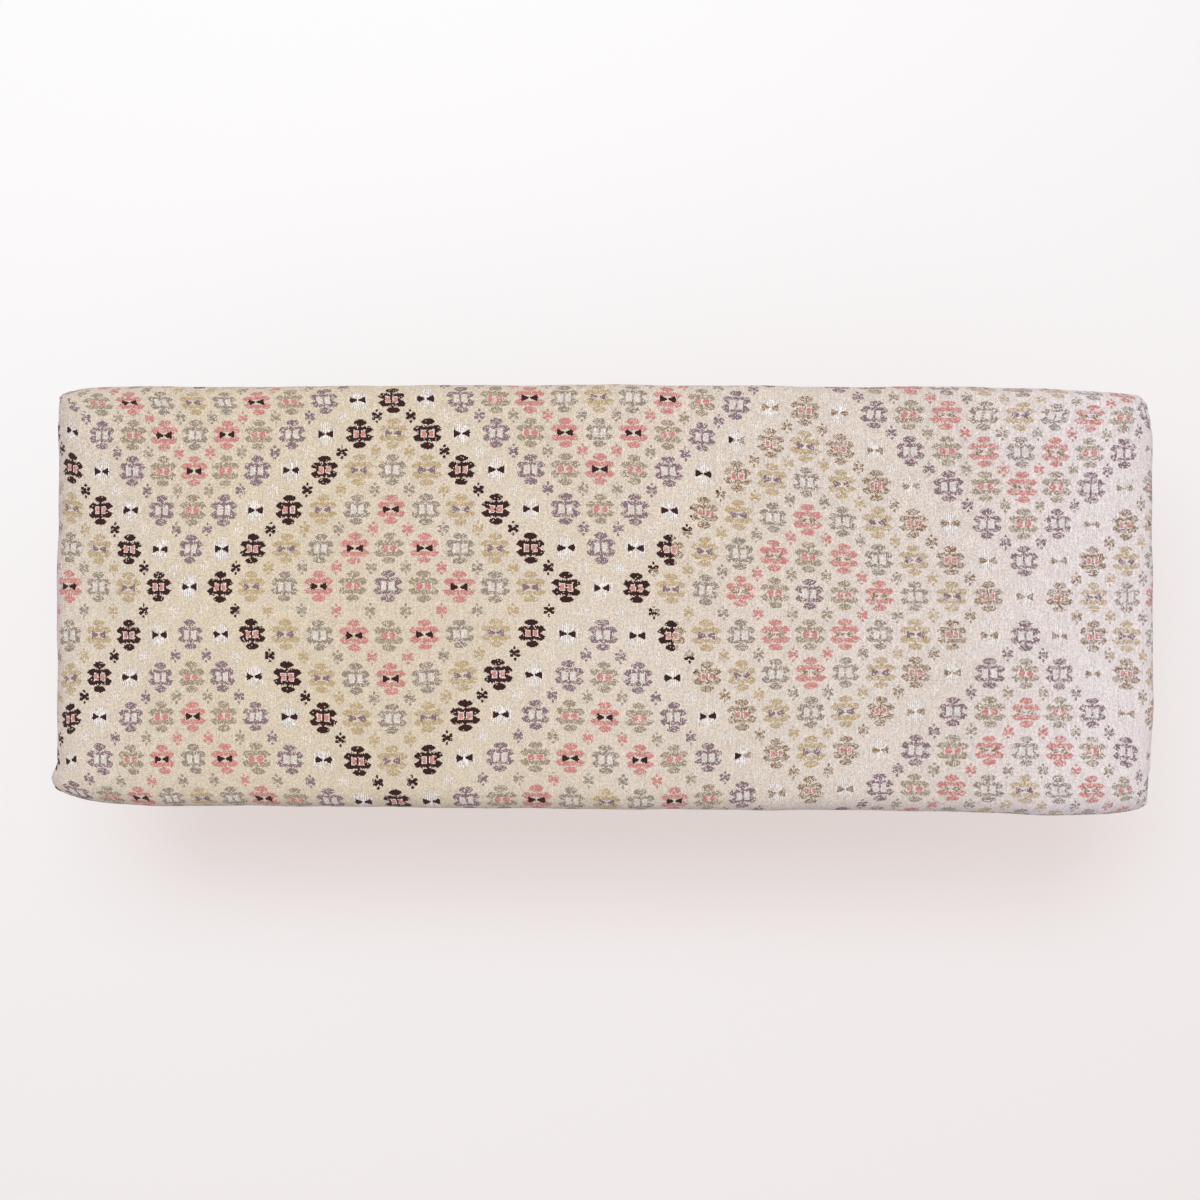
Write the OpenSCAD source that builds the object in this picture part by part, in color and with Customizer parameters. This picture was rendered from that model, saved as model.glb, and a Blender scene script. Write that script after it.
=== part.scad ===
// Upholstered bench: a padded box seat in a flat-woven cover, on four turned legs.
// Origin on the floor under the middle of the seat. +X runs along the bench,
// -Y is its front and +Z is up. All sizes are in millimetres.

/* [Bench] */
// Length of the finished bench, over its cover
bench_length = 1200; // [900:10:1500]
// Depth of the finished bench, over its cover
bench_depth = 465; // [400:5:560]
// Height from the floor to the crown of the seat
seat_height = 450; // [400:5:500]
// Height of the padded side, from the hem to the edge of the top
side_height = 150; // [140:2:180]

/* [Cover] */
// Thickness of the flat-woven cover
cover_t = 2.5; // [1.5:0.25:4]
// Rise of the crown above the edge of the top
crown_rise = 12; // [6:1:20]
// Radius of the padded shoulder between the top and the sides
shoulder_r = 24; // [20:1:30]
// Radius of the upright corners, seen from above
corner_r = 17; // [16:1:24]
// How far the sides swell out between the hem and the shoulder
side_swell = 4; // [1:0.5:8]
// How far the corners are drawn in from the middle of each side
corner_draw = 3; // [1:0.5:8]
// Width of the hem that is turned in under the rails
hem_w = 16; // [14:1:20]

/* [Padding] */
// Thickness of the wadding where the cover pulls it tightest
wadding_t = 6; // [4:0.5:9]
// Slack between one soft layer and the next
layer_gap = 0.3; // [0.2:0.05:0.5]

/* [Frame] */
// Thickness of the rails
rail_t = 22; // [20:1:28]
// Height of the rails
rail_h = 65; // [60:1:75]
// Thickness of the cross rails
cross_rail_t = 22; // [18:1:28]
// Height of the cross rails, which stand flush with the top of the rails
cross_rail_h = 45; // [40:1:55]
// Thickness of the plywood deck
deck_t = 15; // [12:1:18]
// Width of the square corner blocks
block_w = 70; // [66:1:80]
// Height of the corner blocks
block_h = 45; // [42:1:55]

/* [Legs] */
// Diameter of a leg at its top
leg_top_d = 48; // [40:1:56]
// Diameter of a leg at its foot
leg_foot_d = 28; // [24:1:36]
// Height of the straight collar at the top of a leg
leg_collar_h = 18; // [10:1:40]
// Size of the eased edges of a leg
leg_ease = 2; // [1:0.5:3]
// Width of the square leg plates
plate_w = 62; // [58:1:64]
// Thickness of the leg plates
plate_t = 2.5; // [2:0.25:3]
// Radius of the corners of a leg plate
plate_corner_r = 6; // [3:1:8]
// Diameter of the threaded barrel that stands up from a leg plate
barrel_d = 13; // [11:0.5:16]
// Height of that barrel above its plate
barrel_h = 8; // [6:0.5:10]
// Diameter of the hanger bolts
bolt_d = 8; // [6:1:8]
// Length of a hanger bolt above the top of its leg
bolt_up = 22; // [18:1:24]
// Length of a hanger bolt inside its leg
bolt_down = 36; // [30:1:45]
// Diameter of the round glides
glide_d = 24; // [18:1:26]
// Thickness of the glides
glide_t = 5; // [4:0.5:8]
// Diameter of the nail of a glide
glide_nail_d = 2.4; // [2:0.2:3]
// Length of the nail of a glide
glide_nail_l = 18; // [12:1:22]

/* [Fasteners] */
// Diameter of the long wood screws, which hold the frame
screw_d = 4.5; // [4:0.5:5]
// Diameter of their heads
screw_head_d = 9; // [8:0.5:10]
// Length of the long wood screws
screw_l = 55; // [50:1:60]
// Length of the screws through the rails into the corner blocks
block_screw_l = 45; // [40:1:50]
// Length of the deck screws
deck_screw_l = 33; // [30:1:35]
// Length of the leg plate screws
plate_screw_l = 18; // [14:1:20]
// Diameter of the heads of the leg plate screws
plate_screw_head_d = 8; // [7:0.5:8.5]
// Width of a staple's crown
staple_w = 10; // [8:1:12]
// Length of a staple's legs
staple_l = 12; // [8:1:14]
// Thickness of the staple wire
staple_wire = 0.7; // [0.5:0.1:0.9]
// Space between the staples of the cover
cover_staple_pitch = 42; // [25:1:60]
// Space between the staples of the dust cover
dust_staple_pitch = 64; // [40:1:90]

/* [Dust cover] */
// Thickness of the dust cover
dust_t = 0.6; // [0.4:0.1:1]
// Distance from the outer face of the rails to the edge of the dust cover
dust_in = 2; // [1:0.5:3]
// Clearance round each leg in the dust cover
dust_leg_gap = 3; // [2:0.5:5]

/* [Hidden] */

// Clearances and cuts
fit_slack = 0.1;         // radial clearance of a screw or bolt in its hole
bore_spare = 2;          // depth left free past the end of a bolt or nail
overrun = 1;             // how far a cut runs past the face that it opens
screw_tip_l = 5;         // length of a screw's pointed end
bolt_point = 2;          // chamfer at both ends of a hanger bolt
least_corner_r = 1;      // smallest corner radius left on the frame
hem_fold = 1.5;          // size of the fold where the side turns into the hem
ridge_flat = 8;          // half width of the flat strip along the middle of the top, less its corners
hem_corner_r = 2;        // corner radius of the hem's inner edge
glide_ease = 1.2;        // eased edge of a glide

// Heights, from the hem up
edge_z = seat_height - crown_rise;
hem_z = edge_z - side_height;
rail_z = hem_z + cover_t + layer_gap;
rail_top_z = rail_z + rail_h;
deck_top_z = rail_top_z + deck_t;
plate_z = rail_z - plate_t;
dust_z = hem_z - dust_t;
shoulder_z = edge_z - shoulder_r;

// Depths below the cover's outer surface
wadding_in = cover_t + layer_gap;
wadding_back = wadding_in + wadding_t;
pad_in = wadding_back + layer_gap;

// The wooden box: its outline lies under the wadding all round
frame_l = bench_length - 2 * (corner_draw + side_swell + pad_in);
frame_d = bench_depth - 2 * (corner_draw + side_swell + pad_in);
frame_corner_r = max(corner_r - pad_in, least_corner_r);
inner_d = frame_d - 2 * rail_t;

// Places of the corner blocks, and of the legs under their middle
block_x = frame_l / 2 - rail_t - block_w / 2;
block_y = frame_d / 2 - rail_t - block_w / 2;
leg_z = glide_t;
leg_l = plate_z - leg_z;
block_screw_drop = 9;    // from the top of a corner block down to its screws
plate_screw_in = 8;      // from the edge of a leg plate to its screws

// Cross rails divide the frame into equal bays
cross_count = 3;
bay = frame_l / (cross_count + 1);
bay_screw_shares = [0.25, 0.75];
deck_row_y = inner_d / 4;
joint_screw_in = 16;     // from the top or bottom edge of a rail to its end screws
cross_screw_in = 12;     // the same on a cross rail

// Lines of staples, measured in from the outer face of the rails
cover_staple_in = 11;
dust_staple_in = 5.5;
staple_flat = 1.2;       // width of the flat staple wire
staple_end_gap = 14;     // from the end of a rail to the first staple

// Counts of points in the soft forms
short_steps = 2;         // from the middle of an end to its corner
corner_steps = 4;        // round each corner
long_steps = 5;          // from a corner to the middle of a long side
ring_n = 4 * (short_steps + corner_steps + long_steps);
shoulder_steps = 4;
top_ring_shares = [1, 0.72, 0.46, 0.22];
top_round_share = 1.2;   // how fast the rings on the crown round off, as a share of their step
side_ring_shares = [2 / 3, 1 / 3, 0];
round_fn = 48;

// One quarter of a ring, from the middle of the right end to the middle of the back:
// each point with the direction that it faces
function quarter(hx, hy, r, k) =
    k <= short_steps
        ? [[hx, (hy - r) * k / short_steps], [1, 0]]
        : k < short_steps + corner_steps
            ? let (a = 90 * (k - short_steps) / corner_steps)
                [[hx - r + r * cos(a), hy - r + r * sin(a)], [cos(a), sin(a)]]
            : let (s = (k - short_steps - corner_steps) / long_steps)
                [[(hx - r) * (1 - s), hy], [0, 1]];

// A closed ring round the bench: inset from the outline, corner radius, and
// how much of the corners' draw it shows
function ring(inset, r, draw, z) =
    let (hx = bench_length / 2 - corner_draw - inset,
         hy = bench_depth / 2 - corner_draw - inset)
    [for (i = [0 : ring_n - 1])
        let (j = i <= ring_n / 2 ? i : ring_n - i,
             k = j <= ring_n / 4 ? j : ring_n / 2 - j,
             sx = j <= ring_n / 4 ? 1 : -1,
             sy = i <= ring_n / 2 ? 1 : -1,
             q = quarter(hx, hy, r, k),
             px = q[0][0] + draw * q[1][0] * (1 - pow(q[0][1] / hy, 2)),
             py = q[0][1] + draw * q[1][1] * (1 - pow(q[0][0] / hx, 2)))
        [sx * px, sy * py, z]];

// Rings of one layer, from the middle of the top down to low_z. depth is the layer's
// distance below the cover's surface; belly is 1 where its sides swell and 0 where
// they stand straight
function layer(depth, belly, low_z) =
    let (full = side_swell + shoulder_r,
         reach = bench_depth / 2 - corner_draw - full - corner_r - ridge_flat,
         draw = belly * corner_draw)
    concat(
        [for (u = top_ring_shares)
            ring(full + u * reach, corner_r + top_round_share * u * (1 - u) * reach, draw,
                 edge_z - depth + crown_rise * (1 - pow(1 - u, 2)))],
        [for (i = [0 : shoulder_steps])
            let (a = 90 * (1 - i / shoulder_steps))
            ring(full - (shoulder_r - depth) * cos(a),
                 max(corner_r - depth * cos(a), least_corner_r), draw,
                 shoulder_z + (shoulder_r - depth) * sin(a))],
        [for (s = side_ring_shares)
            ring(depth + (s > 0 ? side_swell * (1 - belly) : side_swell),
                 max(corner_r - depth, least_corner_r),
                 s > 0 ? draw : 0,
                 low_z + s * (shoulder_z - low_z))]);

// A solid from a list of rings: bands of triangles, with a fan of triangles from the
// middle of the first and the last ring to close them
module ring_solid(rings) {
    n = len(rings) * ring_n;
    bands = [for (b = [0 : len(rings) - 2], i = [0 : ring_n - 1])
        let (j = (i + 1) % ring_n,
             p = b * ring_n + i, q = b * ring_n + j,
             r = q + ring_n, s = p + ring_n)
        each [[p, q, r], [p, r, s]]];
    first_fan = [for (i = [0 : ring_n - 1]) [(i + 1) % ring_n, i, n]];
    last_fan = [for (i = [0 : ring_n - 1])
        [n - ring_n + i, n - ring_n + (i + 1) % ring_n, n + 1]];
    polyhedron(points = concat([for (one = rings) each one],
                               [[0, 0, rings[0][0][2]], [0, 0, rings[len(rings) - 1][0][2]]]),
               faces = concat(bands, first_fan, last_fan));
}

function upside(rings) = [for (i = [len(rings) - 1 : -1 : 0]) rings[i]];

// The cover: a skin over the top and down the sides, turned in under the rails
module kilim_cover() {
    hem_in = side_swell + pad_in + hem_w;
    outer = layer(0, 1, hem_z + hem_fold);
    inner = layer(cover_t, 1, hem_z + cover_t);
    color([0.85, 0.80, 0.72])
        ring_solid(concat(
            outer,
            [ring(side_swell + hem_fold, corner_r - hem_fold, 0, hem_z),
             ring(hem_in, hem_corner_r, 0, hem_z),
             ring(hem_in, hem_corner_r, 0, hem_z + cover_t)],
            upside(inner)));
}

// Wadding: wraps the foam and the rails, down to the bottom of the rails
module wadding() {
    color([0.96, 0.96, 0.94])
        ring_solid(concat(layer(wadding_in, 1, rail_z), upside(layer(wadding_back, 0, rail_z))));
}

// Foam: a slab on the deck, with its edges eased and its top crowned
module foam_pad() {
    color([0.95, 0.90, 0.70]) ring_solid(layer(pad_in, 0, deck_top_z));
}

// Outline of the wooden box, with rounded upright edges
module frame_outline() {
    r = frame_corner_r;
    square([frame_l - 2 * r, frame_d], center = true);
    square([frame_l, frame_d - 2 * r], center = true);
    for (sx = [-1, 1], sy = [-1, 1])
        translate([sx * (frame_l / 2 - r), sy * (frame_d / 2 - r)])
            circle(r, $fn = round_fn);
}

// A countersunk screw along +Z, its head flush with z = 0; slack makes it its own hole,
// which then also runs out past the face
module screw(d, head_d, l, slack = 0) {
    sink = (head_d - d) / 2;
    r = d / 2 + slack;
    hr = head_d / 2 + slack;
    mouth = slack > 0 ? -overrun : 0;
    rotate_extrude($fn = round_fn)
        polygon([[0, mouth], [hr, mouth], [hr, 0], [r, sink],
                 [r, l - screw_tip_l], [slack, l + slack], [0, l + slack]]);
}

// Long screws through the front and back rails into the ends of the side rails
module corner_joint_screw_set(slack = 0) {
    for (sx = [-1, 1], sy = [-1, 1], z = [rail_z + joint_screw_in, rail_top_z - joint_screw_in])
        translate([sx * (frame_l - rail_t) / 2, sy * frame_d / 2, z])
            rotate([sy * 90, 0, 0]) screw(screw_d, screw_head_d, screw_l, slack);
}

// Long screws through the front and back rails into the ends of the cross rails
module cross_rail_screw_set(slack = 0) {
    low_z = rail_top_z - cross_rail_h;
    for (i = [1 : cross_count], sy = [-1, 1], z = [low_z + cross_screw_in, rail_top_z - cross_screw_in])
        translate([i * bay - frame_l / 2, sy * frame_d / 2, z])
            rotate([sy * 90, 0, 0]) screw(screw_d, screw_head_d, screw_l, slack);
}

// Screws through the rails into the corner blocks, one from each side
module block_screw_set(slack = 0) {
    z = rail_z + block_h - block_screw_drop;
    for (sx = [-1, 1], sy = [-1, 1]) {
        translate([sx * block_x, sy * frame_d / 2, z])
            rotate([sy * 90, 0, 0]) screw(screw_d, screw_head_d, block_screw_l, slack);
        translate([sx * frame_l / 2, sy * block_y, z])
            rotate([0, -sx * 90, 0]) screw(screw_d, screw_head_d, block_screw_l, slack);
    }
}

// Screws down through the deck into the rails and the cross rails
module deck_screw_set(slack = 0) {
    for (i = [0 : cross_count], s = bay_screw_shares, sy = [-1, 1])
        deck_screw((i + s) * bay - frame_l / 2, sy * (frame_d - rail_t) / 2, slack);
    for (i = [1 : cross_count], sy = [-1, 1])
        deck_screw(i * bay - frame_l / 2, sy * deck_row_y, slack);
    for (sx = [-1, 1], sy = [-1, 1])
        deck_screw(sx * (frame_l - rail_t) / 2, sy * deck_row_y, slack);
}

module deck_screw(x, y, slack) {
    translate([x, y, deck_top_z])
        rotate([180, 0, 0]) screw(screw_d, screw_head_d, deck_screw_l, slack);
}

// Short screws up through each leg plate into its corner block
module plate_screw_set(slack = 0) {
    in = plate_w / 2 - plate_screw_in;
    for (sx = [-1, 1], sy = [-1, 1], px = [-in, in], py = [-in, in])
        translate([sx * block_x + px, sy * block_y + py, plate_z])
            screw(screw_d, plate_screw_head_d, plate_screw_l, slack);
}

// A rail that takes the whole length of the box; side is -1 for the front, 1 for the back
module long_rail(side) {
    color([0.80, 0.66, 0.46])
        difference() {
            translate([0, 0, rail_z])
                linear_extrude(rail_h)
                    intersection() {
                        frame_outline();
                        translate([0, side * (frame_d - rail_t) / 2])
                            square([frame_l, rail_t], center = true);
                    }
            corner_joint_screw_set(fit_slack);
            cross_rail_screw_set(fit_slack);
            block_screw_set(fit_slack);
            deck_screw_set(fit_slack);
        }
}

// A rail between the two long ones; side is -1 for the left end, 1 for the right
module end_rail(side) {
    color([0.80, 0.66, 0.46])
        difference() {
            translate([side * (frame_l - rail_t) / 2, 0, rail_z + rail_h / 2])
                cube([rail_t, inner_d, rail_h], center = true);
            corner_joint_screw_set(fit_slack);
            block_screw_set(fit_slack);
            deck_screw_set(fit_slack);
        }
}

// A cross rail, counted from the left
module cross_rail(i) {
    color([0.82, 0.69, 0.50])
        difference() {
            translate([i * bay - frame_l / 2, 0, rail_top_z - cross_rail_h / 2])
                cube([cross_rail_t, inner_d, cross_rail_h], center = true);
            cross_rail_screw_set(fit_slack);
            deck_screw_set(fit_slack);
        }
}

// The plywood deck, screwed down on the rails
module seat_deck() {
    color([0.86, 0.74, 0.55])
        difference() {
            translate([0, 0, rail_top_z]) linear_extrude(deck_t) frame_outline();
            deck_screw_set(fit_slack);
        }
}

// A corner block, bored for the barrel of the leg plate and the bolt above it
module corner_block(sx, sy) {
    color([0.78, 0.62, 0.42])
        difference() {
            translate([sx * block_x, sy * block_y, rail_z + block_h / 2])
                cube([block_w, block_w, block_h], center = true);
            translate([sx * block_x, sy * block_y, rail_z - overrun]) {
                cylinder(h = overrun + barrel_h + fit_slack, d = barrel_d + 2 * fit_slack, $fn = round_fn);
                cylinder(h = overrun + bolt_up - plate_t + bore_spare,
                         d = bolt_d + 2 * fit_slack, $fn = round_fn);
            }
            block_screw_set(fit_slack);
            plate_screw_set(fit_slack);
        }
}

// A pressed steel plate with a threaded barrel for the hanger bolt
module leg_plate(sx, sy) {
    in = plate_w / 2 - plate_corner_r;
    color([0.70, 0.70, 0.72])
        difference() {
            translate([sx * block_x, sy * block_y, plate_z]) {
                linear_extrude(plate_t) {
                    square([plate_w, 2 * in], center = true);
                    square([2 * in, plate_w], center = true);
                    for (px = [-in, in], py = [-in, in])
                        translate([px, py]) circle(plate_corner_r, $fn = round_fn);
                }
                cylinder(h = plate_t + barrel_h, d = barrel_d, $fn = round_fn);
            }
            translate([sx * block_x, sy * block_y, plate_z - overrun])
                cylinder(h = plate_t + barrel_h + 2 * overrun, d = bolt_d + 2 * fit_slack, $fn = round_fn);
            plate_screw_set(fit_slack);
        }
}

// A turned leg: straight collar, then a taper to the foot, bored at both ends
module leg(sx, sy) {
    top_r = leg_top_d / 2;
    foot_r = leg_foot_d / 2;
    color([0.42, 0.27, 0.17])
        translate([sx * block_x, sy * block_y, leg_z])
            difference() {
                rotate_extrude($fn = 2 * round_fn)
                    polygon([[0, 0], [foot_r - leg_ease, 0], [foot_r, leg_ease],
                             [top_r, leg_l - leg_collar_h], [top_r, leg_l - leg_ease],
                             [top_r - leg_ease, leg_l], [0, leg_l]]);
                translate([0, 0, leg_l - bolt_down - bore_spare])
                    cylinder(h = bolt_down + bore_spare + overrun, d = bolt_d + 2 * fit_slack, $fn = round_fn);
                translate([0, 0, -overrun])
                    cylinder(h = glide_nail_l + bore_spare + overrun,
                             d = glide_nail_d + 2 * fit_slack, $fn = round_fn);
            }
}

// Hanger bolts: one end in the leg, the other up through the plate into the block
module hanger_bolts() {
    r = bolt_d / 2;
    color([0.75, 0.75, 0.76])
        for (sx = [-1, 1], sy = [-1, 1])
            translate([sx * block_x, sy * block_y, plate_z - bolt_down])
                rotate_extrude($fn = round_fn)
                    polygon([[0, 0], [r - bolt_point, 0], [r, bolt_point],
                             [r, bolt_down + bolt_up - bolt_point],
                             [r - bolt_point, bolt_down + bolt_up], [0, bolt_down + bolt_up]]);
}

// A round glide on its own nail, under a leg
module glide(sx, sy) {
    r = glide_d / 2;
    nail_r = glide_nail_d / 2;
    color([0.30, 0.30, 0.31])
        translate([sx * block_x, sy * block_y, 0])
            rotate_extrude($fn = round_fn)
                polygon([[0, 0], [r - glide_ease, 0], [r, glide_ease], [r, glide_t - glide_ease],
                         [r - glide_ease, glide_t], [nail_r, glide_t],
                         [nail_r, glide_t + glide_nail_l - nail_r], [0, glide_t + glide_nail_l]]);
}

// The dust cover: a thin sheet under the whole frame, cut out round the legs
module dust_cover() {
    color([0.16, 0.16, 0.17])
        translate([0, 0, dust_z])
            linear_extrude(dust_t)
                difference() {
                    square([frame_l - 2 * dust_in, frame_d - 2 * dust_in], center = true);
                    for (sx = [-1, 1], sy = [-1, 1])
                        translate([sx * block_x, sy * block_y])
                            circle(leg_top_d / 2 + dust_leg_gap, $fn = round_fn);
                }
}

// A staple along X, with the underside of its crown at z = 0 and its legs upwards
module staple() {
    w = staple_w / 2;
    translate([0, staple_flat / 2, 0])
        rotate([90, 0, 0])
            linear_extrude(staple_flat)
                polygon([[-w, 0], [w, 0], [w, staple_l], [w - staple_wire, staple_l],
                         [w - staple_wire, staple_wire], [staple_wire - w, staple_wire],
                         [staple_wire - w, staple_l], [-w, staple_l]]);
}

// A line of staples all round, in from the outer face of the rails
module staple_lines(in, pitch, z) {
    long = frame_l / 2 - in - staple_end_gap;
    short = frame_d / 2 - in - staple_end_gap;
    long_n = floor(2 * long / pitch);
    short_n = floor(2 * short / pitch);
    for (side = [-1, 1]) {
        for (i = [0 : long_n])
            translate([long * (2 * i / long_n - 1), side * (frame_d / 2 - in), z]) staple();
        for (i = [0 : short_n])
            translate([side * (frame_l / 2 - in), short * (2 * i / short_n - 1), z])
                rotate([0, 0, 90]) staple();
    }
}

kilim_cover();
wadding();
foam_pad();
seat_deck();
long_rail(-1);  // front_rail
long_rail(1);  // back_rail
end_rail(-1);  // left_rail
end_rail(1);  // right_rail
cross_rail(1);  // left_cross_rail
cross_rail(2);  // centre_cross_rail
cross_rail(3);  // right_cross_rail
corner_block(-1, -1);  // front_left_block
corner_block(1, -1);  // front_right_block
corner_block(-1, 1);  // back_left_block
corner_block(1, 1);  // back_right_block
leg(-1, -1);  // front_left_leg
leg(1, -1);  // front_right_leg
leg(-1, 1);  // back_left_leg
leg(1, 1);  // back_right_leg
leg_plate(-1, -1);  // front_left_leg_plate
leg_plate(1, -1);  // front_right_leg_plate
leg_plate(-1, 1);  // back_left_leg_plate
leg_plate(1, 1);  // back_right_leg_plate
glide(-1, -1);  // front_left_glide
glide(1, -1);  // front_right_glide
glide(-1, 1);  // back_left_glide
glide(1, 1);  // back_right_glide
hanger_bolts();
color([0.72, 0.72, 0.70]) plate_screw_set();  // leg_plate_screws
color([0.80, 0.70, 0.40]) block_screw_set();  // block_screws
color([0.80, 0.70, 0.40]) corner_joint_screw_set();  // corner_joint_screws
color([0.80, 0.70, 0.40]) cross_rail_screw_set();  // cross_rail_screws
color([0.80, 0.70, 0.40]) deck_screw_set();  // deck_screws
dust_cover();
color([0.75, 0.75, 0.75]) staple_lines(cover_staple_in, cover_staple_pitch, hem_z);  // cover_staples
color([0.75, 0.75, 0.75]) staple_lines(dust_staple_in, dust_staple_pitch, dust_z - staple_wire);  // dust_cover_staples
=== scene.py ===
# %% [markdown]
# An upholstered bench, made from the outside in. The wooden box, the legs, the steel plates and the
# screws are already exact solids, so this lesson only gives them their finish. What is soft on the real
# bench (the flat-woven cover, the wadding, the foam and the dust cover) is made here as cloth and
# padding. Everything is in metres: X runs along the bench, -Y is its front, Z is up from the floor.

# %% Load the frame
import math

import bmesh
import bpy
import numpy as np
from mathutils.bvhtree import BVHTree
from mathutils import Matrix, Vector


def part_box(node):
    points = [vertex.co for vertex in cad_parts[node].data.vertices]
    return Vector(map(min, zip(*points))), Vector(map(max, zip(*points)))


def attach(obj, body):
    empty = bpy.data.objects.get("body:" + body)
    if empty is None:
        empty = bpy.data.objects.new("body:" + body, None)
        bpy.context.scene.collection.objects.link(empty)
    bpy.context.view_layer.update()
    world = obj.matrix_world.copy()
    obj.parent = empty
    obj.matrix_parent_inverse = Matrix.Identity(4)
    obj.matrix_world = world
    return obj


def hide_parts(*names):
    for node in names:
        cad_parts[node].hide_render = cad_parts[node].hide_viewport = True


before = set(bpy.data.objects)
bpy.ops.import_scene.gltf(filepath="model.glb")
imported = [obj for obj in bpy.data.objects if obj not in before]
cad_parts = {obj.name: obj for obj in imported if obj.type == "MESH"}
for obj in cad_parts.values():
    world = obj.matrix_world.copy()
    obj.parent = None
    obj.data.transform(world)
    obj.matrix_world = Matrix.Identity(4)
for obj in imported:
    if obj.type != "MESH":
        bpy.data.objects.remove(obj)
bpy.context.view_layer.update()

BODY = "root"
print("nodes in the frame:", len(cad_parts))

# %% [markdown]
# A few jobs come back with every piece: to put it in the scene, to read its points, to give it a finish.
# They could be written out each time, but a small helper for each keeps the later cells about the bench.

# %% Small helpers for pieces
def new_piece(name, data):
    piece = bpy.data.objects.new(name, data)
    bpy.context.scene.collection.objects.link(piece)
    return piece


def cloth_piece(name, points, faces, flat):
    """A smooth piece, with each face corner's place on the flat cloth as a UV map."""
    mesh = bpy.data.meshes.new(name)
    mesh.from_pydata(points, [], faces)
    layer = mesh.uv_layers.new(name="cloth")
    layer.data.foreach_set("uv", np.array(flat, dtype=np.float32).ravel())
    mesh.polygons.foreach_set("use_smooth", [True] * len(faces))
    return new_piece(name, mesh)


def read_points(mesh, kind):
    """The places or the normals of all points, as rows of three numbers."""
    values = np.empty(len(mesh.vertices) * 3)
    mesh.vertices.foreach_get(kind, values)
    return values.reshape(-1, 3)


def paint(piece, material):
    piece.data.materials.clear()
    piece.data.materials.append(material)


def within(value):
    """The same value, kept between 0 and 1."""
    return min(max(value, 0.0), 1.0)



# %% [markdown]
# The seat's sizes are read from the frame, so the cloth is cut for the wooden box that it covers. Only
# the few numbers that describe how the padding swells are written here: the crown of the top, the round
# shoulder round its edge, the tight upright corners, and the belly of the sides.

# %% Sizes of the seat
cover_low, cover_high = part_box("kilim_cover")
rail_low, rail_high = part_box("front_rail")
HALF_L = cover_high[0]
HALF_D = cover_high[1]
TOP_Z = cover_high[2]
HEM_Z = cover_low[2]
CROWN = 0.012
SHOULDER_R = 0.024
CORNER_R = 0.0065
SIDE_SWELL = 0.004
BULGE = 0.0054
CORNER_DRAW = 0.003
CLOTH_T = 0.0018
EDGE_Z = TOP_Z - CROWN
SHOULDER_Z = EDGE_Z - SHOULDER_R
HEM_IN = HALF_L - CORNER_DRAW - rail_high[0] + 0.016
print(f"seat {2 * HALF_L:.3f} x {2 * HALF_D:.3f} m, hem {HEM_Z:.3f} m, crown {TOP_Z:.3f} m above the floor")


# %% [markdown]
# The cover is one cloth: a top panel whose four sides turn down over the padding. It could be lofted
# from outlines, or sculpted from a box. A grid is better here, because each of its points also knows
# where it lies on the flat cloth, and the woven pattern needs that. The top is a grid, and rows of
# points go down from its rim. Every point of the rim is found on a rounded rectangle by its share of
# the way along one side, so the rows of all layers line up.

# %% A point of a rounded rectangle
def on_outline(side, t, inset, corner, draw):
    """Point and outward direction at share t (-1 to 1) of a side: 0 front, 1 right, 2 back, 3 left."""
    across = HALF_L if side % 2 == 0 else HALF_D
    away = HALF_D if side % 2 == 0 else HALF_L
    along_half = across - CORNER_DRAW - inset
    out_half = away - CORNER_DRAW - inset
    straight = along_half - corner
    s = t * (straight + corner * math.pi / 4)
    turn = max(abs(s) - straight, 0.0) / corner
    sign = 1.0 if s >= 0 else -1.0
    along = s if turn == 0 else sign * (straight + corner * math.sin(turn))
    out = out_half - corner * (1 - math.cos(turn))
    n_along, n_out = sign * math.sin(turn), math.cos(turn)
    out += draw * n_out * (1 - (along / along_half) ** 2)
    along += draw * n_along * (1 - (out / out_half) ** 2)
    place = ((along, -out), (out, along), (-along, out), (-out, -along))[side]
    facing = ((n_along, -n_out), (n_out, n_along), (-n_along, n_out), (-n_out, -n_along))[side]
    return place, facing, s


# %% [markdown]
# The foam swells more than the wooden rails do, so the sides are fullest just under the shoulder and
# tight at the hem. The shoulder takes up the same swelling step by step, or it would end in a crease.

# %% The rows that go down from the rim
def side_rows(depth, steps, low_z, belly):
    """Rows from the rim down: inset, corner radius, share of the draw and height."""
    full = SIDE_SWELL + SHOULDER_R
    radius = SHOULDER_R - depth
    rows = []
    for i in range(1, steps["shoulder"] + 1):
        a = math.pi / 2 * (1 - i / steps["shoulder"])
        corner = max(CORNER_R - depth * math.cos(a), 0.002)
        swelled = belly * BULGE * math.cos(a) ** 1.5
        rows.append((full - radius * math.cos(a) - swelled, corner, belly, SHOULDER_Z + radius * math.sin(a)))
    for i in range(1, steps["side"] + 1):
        h = 1 - i / steps["side"]
        z = low_z + h * (SHOULDER_Z - low_z)
        swelled = belly * BULGE * math.sin(1.75 * h)
        hold = belly * min(1.0, 3 * h)
        rows.append((depth + SIDE_SWELL - swelled, max(CORNER_R - depth, 0.002), hold, z))
    return rows


# %% [markdown]
# The crown is a shallow dome: it climbs quickly just inside the rim and is nearly flat in the middle,
# as a foam slab is under a tight cloth. The same function gives the top of the cover, the wadding and
# the foam, each a little lower than the one before.

# %% The crown of the top
def crown(x, y):
    reach = HALF_D - CORNER_DRAW - SIDE_SWELL - SHOULDER_R - CORNER_R
    rise = 1.0
    for half, at in ((HALF_L, x), (HALF_D, y)):
        inside = half - CORNER_DRAW - SIDE_SWELL - SHOULDER_R - abs(at)
        share = within(inside / reach)
        rise *= 1 - (1 - share) ** 2
    return CROWN * rise


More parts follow.
